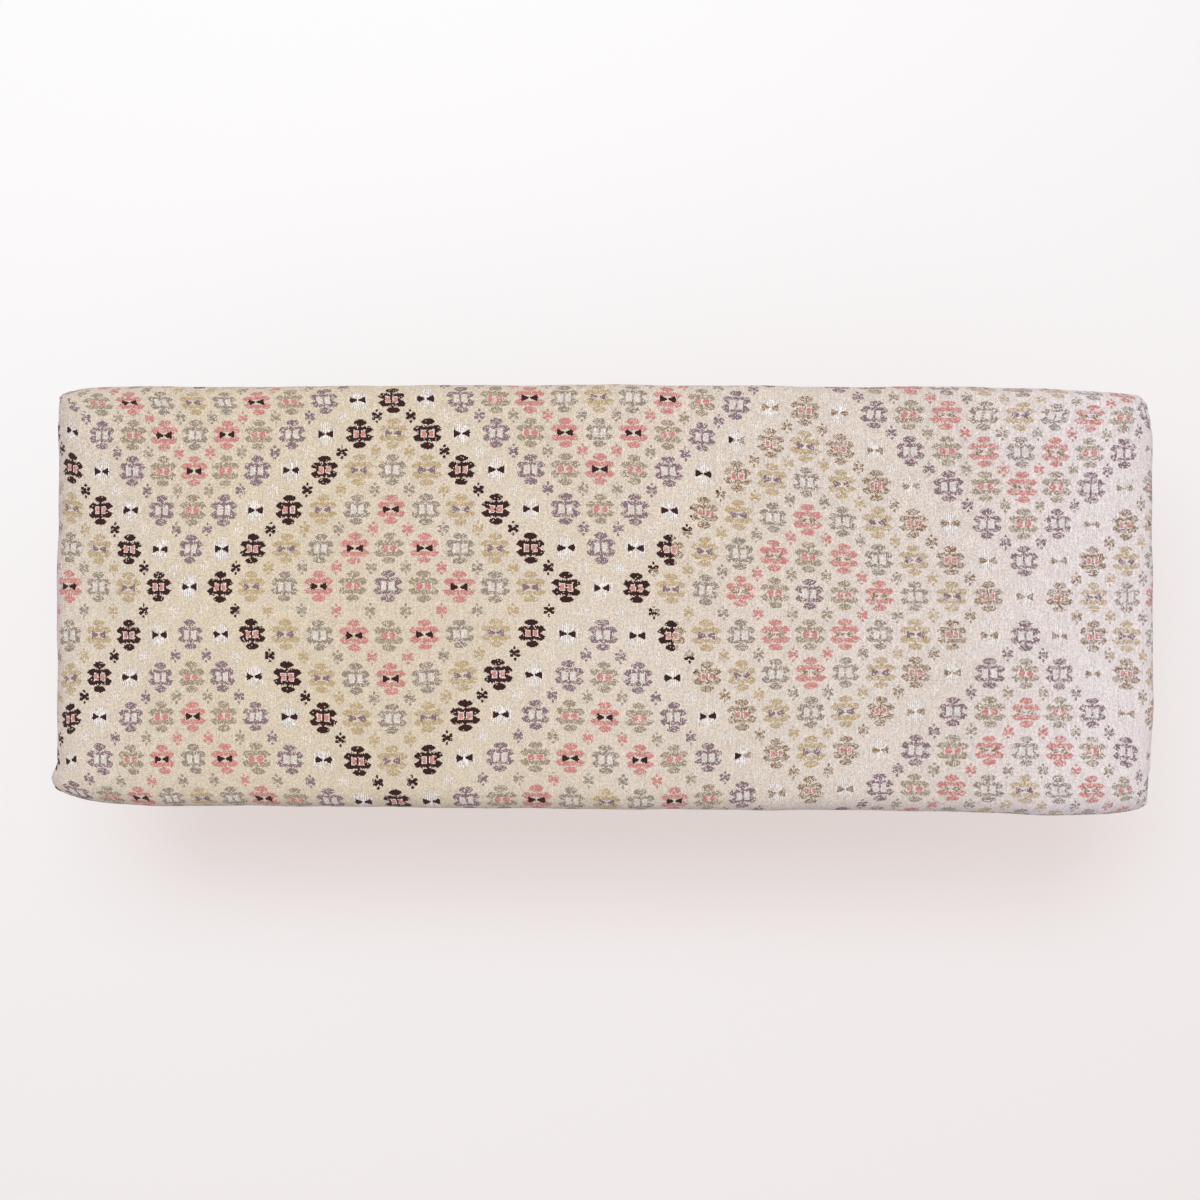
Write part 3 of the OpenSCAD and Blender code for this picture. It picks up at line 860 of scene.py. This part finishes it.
def object_place(tree, scale=(1, 1, 1)):
    coords = tree.nodes.new("ShaderNodeTexCoord")
    mapping = tree.nodes.new("ShaderNodeMapping")
    mapping.inputs["Scale"].default_value = scale
    tree.links.new(coords.outputs["Object"], mapping.inputs["Vector"])
    return mapping.outputs[0]


def noise(tree, vector, scale, detail=2.0, roughness=0.5, distortion=0.0):
    node = tree.nodes.new("ShaderNodeTexNoise")
    tree.links.new(vector, node.inputs["Vector"])
    node.inputs["Scale"].default_value = scale
    node.inputs["Detail"].default_value = detail
    node.inputs["Roughness"].default_value = roughness
    node.inputs["Distortion"].default_value = distortion
    return Wire(tree, node.outputs["Fac"])


def chance(tree, vector):
    """A number from 0 to 1 that is random for each whole-numbered place."""
    node = tree.nodes.new("ShaderNodeTexWhiteNoise")
    tree.links.new(vector, node.inputs["Vector"])
    return Wire(tree, node.outputs["Value"])


def steps_of_colour(tree, index, colours):
    """The colour of a whole number, from a list of them."""
    node = tree.nodes.new("ShaderNodeValToRGB")
    node.color_ramp.interpolation = "CONSTANT"
    ramp = node.color_ramp.elements
    while len(ramp) < len(colours):
        ramp.new(0.5)
    for k, colour in enumerate(colours):
        ramp[k].position = k / len(colours)
        ramp[k].color = colour
    plug(tree, node.inputs[0], (index + 0.5) / len(colours))
    return node.outputs[0]


def mix_colour(tree, share, first, second, kind="MIX"):
    node = tree.nodes.new("ShaderNodeMix")
    node.data_type = "RGBA"
    node.blend_type = kind
    plug(tree, node.inputs[0], share)
    for slot, value in ((node.inputs[6], first), (node.inputs[7], second)):
        if isinstance(value, bpy.types.NodeSocket):
            tree.links.new(value, slot)
        else:
            slot.default_value = value
    return node.outputs[2]


def two_tones(tree, shader, share, first, second):
    """Sets the surface's colour between two that are written in steps of 0 to 255."""
    tree.links.new(mix_colour(tree, share, linear(*first), linear(*second)), shader.inputs["Base Color"])


def bumps(tree, shader, height, distance, strength=1.0):
    node = tree.nodes.new("ShaderNodeBump")
    node.inputs["Strength"].default_value = strength
    node.inputs["Distance"].default_value = distance
    plug(tree, node.inputs["Height"], height)
    tree.links.new(node.outputs[0], shader.inputs["Normal"])


# %% [markdown]
# The weave has three scales. The yarns run down the cloth in ribs 1.15 mm wide, and every stitch of
# colour covers a whole number of them, so the edge of a petal is a small staircase: the place is
# rounded to the yarns before a petal is drawn. The petals are drawn by comparing distances, in
# millimetres, with a lens, a wing and a bar. Then each stitch has a chance to show the ground through,
# which gives the pale yarns their speckle, and the brocade stands a little proud of the ground.

# %% The colours of the yarns
YARN = {
    "ground": linear(226, 210, 188),
    "ground faded": linear(240, 228, 228),
    "black": linear(60, 33, 31),
    "brown": linear(153, 125, 96),
    "pink": linear(215, 141, 136),
    "olive": linear(167, 150, 128),
    "mauve": linear(144, 118, 128),
    "grey": linear(157, 142, 131),
    "gold": linear(199, 172, 130),
    "white": linear(240, 232, 229),
    "bleached": linear(250, 243, 240),
}
BODY_COLOURS = ["mauve", "olive", "pink", "grey", "gold", "black", "bleached"]
HEART_COLOURS = ["white", "pink", "black", "white", "mauve", "pink", "black"]
HEART_IS_BOW = [0, 1, 1, 0, 1, 0, 1]
SHOW_THROUGH = [0.18, 0.24, 0.15, 0.25, 0.26, 0.03, 0.28]
HALO_THINS = 0.50
BROWN_SHOWS = 0.36
WHITE_SHOWS = 0.32
FADED_SHOWS = 0.12
EDGE_SHADE_TINT = (0.96, 0.93, 0.98, 1.0)
REPEAT = 12
YARN_W_MM = 1.15
STITCH_H_MM = 1.05


# %% Draw the medallions
def petals(big_x, big_y, is_bow, is_round, is_small):
    """Body, heart and core of a medallion, from the distances to its two middle lines, in mm."""
    cap = (big_x / 7.5).math("POWER", 2) + (abs(big_y - 12.9) / 3.7).math("POWER", 1.7) < 1
    past = (big_x - 9.5).math("MAXIMUM", 0)
    teeth = ((big_x / 2.3).math("FRACT") > 0.5) * (big_x < 8) * 1.1
    top = (big_x * 0.20 + 6.8 + teeth).math("MINIMUM", 9.2 - past * past * (0.14 - is_bow * 0.03))
    slit = (big_x - 8.8) * 0.56
    bow_slit = 0.6 + ((big_x - 9.8) * 0.55).math("MAXIMUM", 0)
    slit = slit + (bow_slit - slit) * is_bow
    heart_zone = (big_x < 7.6 + is_bow * 1.5 - is_small * 0.4) * (
        big_y < 4.3 + (1 - is_bow) * (big_x * 0.14) - is_bow * 0.9 - is_small * 0.7)
    wing = (big_y < top) * (big_y > slit) * (big_x < 16.4) * (1 - heart_zone)
    bar = (big_x < 1.1) * (big_y < 10.5) * (1 - is_bow * (big_y < 3.9))
    body = cap.math("MAXIMUM", wing).math("MAXIMUM", bar)
    block = (big_x > 1.3) * (big_x < 7.1 - is_small * 0.4) * (big_y < big_x * 0.26 + 3.3 - is_small * 0.6)
    core = ((big_x - 4.1) / 2.3).math("POWER", 4) + (big_y / 3.3).math("POWER", 4) < 1
    fan = (big_x > 0.9) * (big_x + big_y * big_y * 0.05 < 9.0) * (big_y < 0.9 + (big_x - 0.9) * 0.46)
    ball = ((big_x - 4.6) / 3.5).math("POWER", 2) + (big_y / 3.8).math("POWER", 2) < 1
    bow = fan + (ball - fan) * is_round
    heart = block * (1 - is_bow) + bow * is_bow
    return body, heart, core


def flower(big_x, big_y):
    """The small flower between four medallions: a cross of four petals, a dot above and one below."""
    lobes = ((big_x - 3.5) / 2.4).math("POWER", 2) + ((big_y - 2.3) / 2.0).math("POWER", 2) < 1
    dots = (big_x / 1.4).math("POWER", 2) + ((big_y - 6.2) / 1.8).math("POWER", 2) < 1
    middle = (big_x + big_y < 3.0)
    return lobes.math("MAXIMUM", dots).math("MAXIMUM", middle)


def diamond_step(column, row):
    """Which of the seven colourings a place has."""
    sideways = column.math("PINGPONG", REPEAT / 2)
    downwards = (row - MIDDLE_ROW).math("PINGPONG", REPEAT / 2)
    total = (sideways + downwards + 0.25).math("FLOOR")
    return total.math("MODULO", len(BODY_COLOURS))


# %% The material of the cover
def kilim_material():
    mat, tree, shader = new_material(
        "kilim", 0.92, Sheen_Weight=0.12, Sheen_Roughness=0.5, Specular_IOR_Level=0.15)
    flat = uv_map(tree, "cloth")
    u, v, _ = split(tree, flat)
    u, v = u * 1000, v * 1000
    column, row, _ = split(tree, uv_map(tree, "count"))
    step_x, step_y, _ = split(tree, uv_map(tree, "spacing"))

    # Where this yarn and this stitch are, how far the point is from their middle, and which lie on top
    yarn = (u / YARN_W_MM).math("FLOOR")
    stitch = (v / STITCH_H_MM).math("FLOOR")
    off_u = ((u / YARN_W_MM).math("FRACT") - 0.5) * YARN_W_MM
    off_v = ((v / STITCH_H_MM).math("FRACT") - 0.5) * STITCH_H_MM
    over = ((yarn + stitch) * 0.5).math("FRACT") > 0.25

    # Slow drifts, which make the drawing look hand made
    drift_x = (noise(tree, flat, 28, 1) - 0.5) * 2.2
    drift_y = (noise(tree, join(tree, u * 0.001 + 7, v * 0.001), 28, 1) - 0.5) * 2.2
    rough_x = (noise(tree, flat, 260, 1) - 0.5) * 1.6
    rough_y = (noise(tree, join(tree, u * 0.001, v * 0.001 + 5), 260, 1) - 0.5) * 1.6

    def from_middle(column_middle, row_middle):
        x = (column - column_middle) * MAIN_STEP_MM - off_u + drift_x + rough_x
        y = (row_middle - row) * step_y - off_v + drift_y + rough_y
        return x, y

    # The medallions
    whole_c, whole_r = column.math("ROUND"), row.math("ROUND")
    kind = diamond_step(whole_c, whole_r)
    is_bow = Wire(tree, steps_of_colour(tree, kind, [(b, b, b, 1) for b in HEART_IS_BOW])) > 0.5
    x, y = from_middle(whole_c, whole_r)
    size = 0.96 + 0.08 * chance(tree, join(tree, whole_c + 11, whole_r, 3))
    lone = abs(kind - 6) < 0.5
    body, heart, core = petals(abs(x) / size, abs(y) / size, is_bow, abs(kind - 1) < 0.5,
                               abs(kind - 5) < 0.5)

    # The white ones are no more than a halo of long strokes, which thin out away from the middle
    outwards = (x / 12.5).math("POWER", 2) + (y / 13.5).math("POWER", 2)
    ragged = chance(tree, join(tree, yarn, whole_c * 7 + whole_r, 9)) * 0.4
    body = body + ((outwards + ragged < 1) - body) * lone

    # The small flowers, half a step from them
    half_c, half_r = column.math("FLOOR") + 0.5, row.math("FLOOR") + 0.5
    flower_kind = diamond_step(half_c, half_r)
    fx, fy = from_middle(half_c, half_r)
    bloom = flower(abs(fx), abs(fy))

    body_colours = [YARN[c] for c in BODY_COLOURS]
    heart_colours = [YARN[c] for c in HEART_COLOURS]
    in_bloom = bloom * (1 - body.math("MAXIMUM", heart))
    body_kind = kind + (flower_kind - kind) * in_bloom
    colour = steps_of_colour(tree, body_kind, body_colours)
    white_edge = (abs(kind - 5) < 0.5) * (1 - core)
    heart_colour = steps_of_colour(tree, kind * (1 - white_edge), heart_colours)
    colour = mix_colour(tree, heart, colour, heart_colour)
    any_yarn = body.math("MAXIMUM", heart).math("MAXIMUM", bloom)

    # The black yarn ran out, and the weaver went on with brown
    limit = 7.4 + 0.65 * abs(whole_r - MIDDLE_ROW)
    is_black = (abs(body_kind - 5) < 0.5) * (1 - heart) + heart * (
        (abs(kind - 2) < 0.5) + (abs(kind - 6) < 0.5))
    browned = is_black * (column + (noise(tree, flat, 40, 1) - 0.5) * 0.6 > limit)
    colour = mix_colour(tree, browned, colour, YARN["brown"])

    # Each stitch may show the ground through, every second one more often, more so in the pale yarns
    far_right = ((u - 350) / 200).clamped()
    far_left = ((-420 - u) / 150).clamped()
    fade = (u + 250) / 1100 + (noise(tree, flat, 5, 2) - 0.5) * 0.5
    fade = (fade.math("MAXIMUM", 0) + far_right * 0.4 + far_left * 0.25).clamped()
    shows = Wire(tree, steps_of_colour(tree, body_kind, [(s, s, s, 1) for s in SHOW_THROUGH]))
    shows = shows * (1 - heart) + heart * (1 - is_black) * 0.10
    shows = shows + browned * BROWN_SHOWS + fade * FADED_SHOWS * (1 - is_black)
    white_heart = heart * ((kind < 0.5) + (abs(kind - 3) < 0.5))
    is_white = (abs(body_kind - 6) < 0.5) * (1 - heart)
    second_yarn = (yarn * 0.5).math("FRACT") > 0.25
    shows = shows + white_heart * WHITE_SHOWS + is_white * outwards.math("MINIMUM", 1) * HALO_THINS
    shows = shows * (0.3 + 1.4 * (over + (second_yarn - over) * is_white))
    long_stitch = (stitch / 3 + chance(tree, join(tree, yarn, 8, 8))).math("FLOOR")
    luck = chance(tree, join(tree, yarn, stitch + (long_stitch - stitch) * is_white, 1))
    covered = any_yarn * (luck > shows)

    # The ground: faded towards the right, mottled, with each yarn a little different. The front and
    # left edges get painted shade: a darker, slightly violet tint
    ground = mix_colour(tree, fade, YARN["ground"], YARN["ground faded"])
    colour = mix_colour(tree, covered, ground, colour)
    per_yarn = chance(tree, join(tree, yarn, 5, 2)) * 0.05
    per_stitch = chance(tree, join(tree, yarn, stitch, 4)) * 0.36 + over * 0.05
    blotch = noise(tree, flat, 14, 3) * 0.07 + noise(tree, flat, 430, 2) * (0.36 - fade * 0.10)
    streak = noise(tree, join(tree, u * 0.001, v * 0.00015), 560, 2) * (fade * 0.36 + 0.20)
    # Painted shade: each yarn and stitch is darker towards its edges, in the grooves between them
    groove_shade = abs(off_u / YARN_W_MM) * 0.22 + abs(off_v / STITCH_H_MM) * 0.10
    # Painted light: the v term makes the cloth lighter towards the front and darker towards the back
    value = 1.565 - per_yarn - per_stitch - blotch - streak - groove_shade - v * 0.00032
    value = value + fade * 0.15 + far_right * 0.04 - far_left * 0.04
    # Painted highlight: the last 25 mm at the right end of the cloth, over its shoulder, are made lighter
    value = value + ((u - 570) / 25).clamped() * 0.12
    # Painted shade: inside the white halos, the gaps between the strokes are darker
    value = value - (body - covered).math("MAXIMUM", 0) * lone * 0.08
    # Painted shade: the front and left edges are multiplied by a darker, violet tint
    front_edge_shade = ((v + 220) / -14).clamped() * ((v + 265) / 25).clamped()
    left_edge_shade = ((u + 583) / -14).clamped() * ((u + 635) / 25).clamped()
    colour = mix_colour(tree, front_edge_shade.math("MAXIMUM", left_edge_shade), colour, EDGE_SHADE_TINT, "MULTIPLY")
    shade = tree.nodes.new("ShaderNodeHueSaturation")
    plug(tree, shade.inputs["Value"], value)
    tree.links.new(colour, shade.inputs["Color"])
    tree.links.new(shade.outputs[0], shader.inputs["Base Color"])

    # Ribs, stitches and the thickness of the brocade
    rib = (1 - (off_u / YARN_W_MM * 2).math("POWER", 2)) * 0.5
    knot = (1 - (off_v / STITCH_H_MM * 2).math("POWER", 2)) * 0.22
    slub = noise(tree, join(tree, u * 0.02, v * 0.2), 3, 2) * 0.5
    height = rib + knot + slub + covered * 0.55 + luck * 0.15
    bumps(tree, shader, height, 0.0005, 0.8)
    return mat


kilim = kilim_material()
for piece in (cover, folds):
    paint(piece, kilim)
print("kilim material:", len(kilim.node_tree.nodes), "nodes")

# %% [markdown]
# The finishes that are not woven. Wood is a stretched noise: long along the grain, fine across it, with
# short dark pores, and its rings are wide bands that the noise bends. Metal gets its look from the
# roughness: a zinc coat is cloudy, and a yellow coat shifts its hue a little. The deck shows its plies
# at the edge, so its colour changes every layer.

# %% Wood
FULL_TURN = 6.283
PLY_T = 0.00137


def wood(name, axis, light, dark, ring=26, pores=0.25, roughness=0.6, coat=0.0, gloss=0.4):
    mat, tree, shader = new_material(name, roughness, Coat_Weight=coat, Specular_IOR_Level=gloss)
    stretch = [1.0, 1.0, 1.0]
    stretch[axis] = 0.06
    place = object_place(tree, stretch)
    bend = noise(tree, place, 9, 2) * 1.6
    x, y, z = split(tree, object_place(tree))
    across = (x * 0.6 + y * 0.8) if axis == 2 else (z * 0.9 + (y if axis == 0 else x) * 0.5)
    rings = ((across * ring + bend) * FULL_TURN).math("SINE") * 0.5 + 0.5
    fibre = noise(tree, place, 330, 3, 0.6)
    pore = (noise(tree, place, 900, 1) - 0.60).math("MAXIMUM", 0) * 6
    share = (rings * 0.45 + fibre * 0.55 + pore * pores).clamped()
    two_tones(tree, shader, share, light, dark)
    plug(tree, shader.inputs["Roughness"], roughness + fibre * 0.16 - 0.08)
    bumps(tree, shader, fibre * 0.6 - pore * pores, 0.0002, 0.5)
    return mat


def plywood():
    mat, tree, shader = new_material("birch plywood", 0.65, Specular_IOR_Level=0.35)
    x, y, z = split(tree, object_place(tree))
    ply = ((z - deck_low[2]) / PLY_T).math("FLOOR")
    along = (ply * 0.5).math("FRACT") > 0.25
    grain = noise(tree, object_place(tree, (0.07, 1, 1)), 260, 3, 0.6)
    bend = noise(tree, object_place(tree, (0.07, 1, 1)), 7, 2)
    rings = ((y * 14 + bend * 3) * FULL_TURN).math("SINE") * 0.25 + 0.25
    share = (rings + grain * 0.6 + along * 0.25).clamped()
    two_tones(tree, shader, share, (226, 201, 160), (188, 150, 104))
    bumps(tree, shader, grain + along * 0.3, 0.0002, 0.4)
    return mat


# %% Metal, plastic, padding and the dust sheet
DOTS_PER_M = 700


def metal(name, base, tint, roughness, cloud=120):
    mat, tree, shader = new_material(name, roughness, Metallic=1.0)
    place = object_place(tree)
    clouds = noise(tree, place, cloud, 3, 0.6)
    fine = noise(tree, place, 1400, 2)
    two_tones(tree, shader, clouds, base, tint)
    plug(tree, shader.inputs["Roughness"], roughness - 0.1 + clouds * 0.2)
    bumps(tree, shader, fine + clouds, 0.00005, 0.5)
    return mat


def nylon(name, base):
    mat, tree, shader = new_material(name, 0.45, Specular_IOR_Level=0.5)
    place = object_place(tree)
    scuffs = noise(tree, place, 600, 3, 0.65)
    two_tones(tree, shader, scuffs * 0.5, base, [min(c + 40, 255) for c in base])
    plug(tree, shader.inputs["Roughness"], 0.35 + scuffs * 0.25)
    bumps(tree, shader, scuffs, 0.0001, 0.4)
    return mat


def foam_material():
    mat, tree, shader = new_material("seat foam", 0.95, Specular_IOR_Level=0.1)
    place = object_place(tree)
    cells = noise(tree, place, 1100, 1)
    wide = noise(tree, place, 12, 2)
    two_tones(tree, shader, cells * 0.7 + wide * 0.3, (236, 220, 160), (214, 190, 124))
    bumps(tree, shader, cells, 0.0006, 0.9)
    return mat


def wadding_material():
    mat, tree, shader = new_material("polyester wadding", 1.0, Sheen_Weight=0.3, Specular_IOR_Level=0.1)
    place = object_place(tree)
    fibres = noise(tree, place, 240, 4, 0.7, 2.0)
    clumps = noise(tree, place, 30, 2)
    two_tones(tree, shader, fibres * 0.6 + clumps * 0.4, (250, 250, 248), (222, 223, 224))
    bumps(tree, shader, fibres + clumps, 0.001, 0.8)
    return mat


def spunbond():
    mat, tree, shader = new_material("black spunbond", 0.85, Sheen_Weight=0.1, Specular_IOR_Level=0.25)
    x, y, _ = split(tree, object_place(tree))
    place = object_place(tree)
    dot_x = abs((x * DOTS_PER_M).math("FRACT") - 0.5)
    dot_y = abs((y * DOTS_PER_M + (x * DOTS_PER_M).math("FLOOR") * 0.5).math("FRACT") - 0.5)
    dot = (dot_x < 0.26) * (dot_y < 0.26)
    fibres = noise(tree, place, 900, 3, 0.7, 1.5)
    clouds = noise(tree, place, 45, 3)
    share = (fibres * 0.5 + clouds * 0.4 - dot * 0.15).clamped()
    two_tones(tree, shader, share, (22, 22, 24), (62, 62, 65))
    bumps(tree, shader, fibres - dot * 0.8, 0.0002, 0.8)
    return mat


def linen_thread():
    mat, tree, shader = new_material("linen thread", 0.7, Sheen_Weight=0.2, Specular_IOR_Level=0.3)
    place = object_place(tree)
    fibres = noise(tree, place, 1800, 2, 0.6)
    wear = noise(tree, place, 90, 2)
    two_tones(tree, shader, fibres * 0.7 + wear * 0.3, (226, 214, 194), (176, 158, 134))
    bumps(tree, shader, fibres, 0.0001, 0.6)
    return mat


# %% Give every solid its finish
X_AXIS, Y_AXIS, Z_AXIS = 0, 1, 2
pine = dict(light=(224, 190, 138), dark=(186, 138, 84), ring=30, pores=0.05, roughness=0.62)
finishes = {
    "walnut": wood("walnut", Z_AXIS, (134, 90, 58), (62, 38, 25), 45, 0.5, 0.38, 0.25),
    "beech": wood("beech", Z_AXIS, (214, 172, 132), (178, 128, 88), 40, 0.5, 0.6),
    "pine long": wood("pine along the bench", X_AXIS, **pine),
    "pine short": wood("pine across the bench", Y_AXIS, **pine),
    "plywood": plywood(),
    "zinc": metal("zinc plated steel", (188, 192, 196), (140, 146, 154), 0.38),
    "yellow": metal("yellow zinc", (206, 176, 104), (178, 150, 118), 0.34, 400),
    "wire": metal("staple wire", (170, 172, 174), (128, 130, 132), 0.3, 500),
    "nylon": nylon("glide nylon", (58, 50, 46)),
}
USES = {
    "walnut": ["_leg"], "beech": ["_block"], "plywood": ["seat_deck"],
    "pine long": ["front_rail", "back_rail"],
    "pine short": ["left_rail", "right_rail", "cross_rail"],
    "zinc": ["leg_plate", "hanger_bolts"],
    "yellow": ["_screws"], "wire": ["staples"], "nylon": ["glide"],
}
for name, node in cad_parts.items():
    for finish, endings in USES.items():
        if any(name.endswith(e) for e in endings):
            paint(node, finishes[finish])

# %% Hang the soft pieces on the frame
make_plain(cover, subdivide=0, thickness=CLOTH_T)
make_plain(folds, subdivide=0, thickness=0.5 * CLOTH_T)
stitches = stitch_folds(linen_thread())
for piece, finish in ((wadding, wadding_material()), (foam, foam_material()), (dust, spunbond())):
    paint(piece, finish)
for piece, node, slot in (
        (cover, "kilim_cover", "kilim_cloth"), (wadding, "wadding", "polyester_wadding"),
        (foam, "foam_pad", "seat_foam"), (dust, "dust_cover", "black_spunbond")):
    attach(piece, BODY)
    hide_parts(node)
for piece in (folds, stitches):
    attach(piece, BODY)


# %% [markdown]
# The floor is a wide pale sheet. The photograph was taken near a window: its light comes from high up
# behind the bench, a little from the left, and it is so large that the shadow in front of the bench has
# no edge. The camera saw that white floor almost without contrast, so a part of the floor's brightness
# is its own, for the camera and for what gloss shows of it. The shadow stays, only paler and a little
# pink, as in the photograph. From below the floor is clear, so the underside of the bench can be looked
# at too.

# %% Floor and light
def seen_directly(tree):
    """1 for what the camera sees, also by way of a gloss or through glass."""
    rays = tree.nodes.new("ShaderNodeLightPath")
    camera_ray, glossy, through = (
        Wire(tree, rays.outputs[f"Is {kind} Ray"]) for kind in ("Camera", "Glossy", "Transmission"))
    return camera_ray.math("MAXIMUM", glossy).math("MAXIMUM", through)


FLOOR_HALF = 40
floor_mesh = bpy.data.meshes.new("floor")
floor_mesh.from_pydata(
    [(x * FLOOR_HALF, y * FLOOR_HALF, 0) for x, y in ((-1, -1), (1, -1), (1, 1), (-1, 1))],
    [], [(0, 1, 2, 3)])
floor = new_piece("floor", floor_mesh)
floor_mat, floor_tree, floor_shader = new_material("floor", 0.9, Specular_IOR_Level=0.0)
seen = seen_directly(floor_tree)
floor_tree.links.new(
    mix_colour(floor_tree, seen, (0.86, 0.86, 0.86, 1), (0.36, 0.46, 0.51, 1)),
    floor_shader.inputs["Base Color"])
floor_shader.inputs["Emission Color"].default_value = (0.60, 0.48, 0.44, 1)
plug(floor_tree, floor_shader.inputs["Emission Strength"], seen)
sides = floor_tree.nodes.new("ShaderNodeNewGeometry")
plug(floor_tree, floor_shader.inputs["Alpha"], 1 - Wire(floor_tree, sides.outputs["Backfacing"]))
floor_mesh.materials.append(floor_mat)


def lamp(name, place, aim, size, power):
    data = bpy.data.lights.new(name, "AREA")
    data.shape = "DISK"
    data.size = size
    data.energy = power
    obj = new_piece(name, data)
    obj.location = place
    toward = np.array(aim) - np.array(place)
    obj.rotation_euler = (
        math.acos(-toward[2] / np.linalg.norm(toward)), 0.0, math.atan2(toward[0], -toward[1]))


lamp("window", (-0.3, 1.05, 3.1), (0.0, 0.0, 0.3), 1.7, 66)
world = bpy.data.worlds.new("sky")
bpy.context.scene.world = world
world.use_nodes = True
sky = world.node_tree.nodes["Background"]
sky.inputs["Color"].default_value = (1.0, 1.0, 1.0, 1.0)
plug(world.node_tree, sky.inputs["Strength"], seen_directly(world.node_tree) * 0.38 + 0.50)

# %% Camera
CAMERA_HEIGHT = 2.05
VIEW_ANGLE = 43.87
CAMERA_TURN = 0.4
cam_data = bpy.data.cameras.new("camera")
cam_data.sensor_fit = "HORIZONTAL"
cam_data.angle = math.radians(VIEW_ANGLE)
camera = new_piece("camera", cam_data)
camera.location = (-0.0052, -0.0035, CAMERA_HEIGHT)
camera.rotation_euler = (0.0, 0.0, math.radians(CAMERA_TURN))
bpy.context.scene.camera = camera
bpy.context.scene.view_settings.view_transform = "Standard"
print(f"camera {CAMERA_HEIGHT} m up, {VIEW_ANGLE} degrees wide")
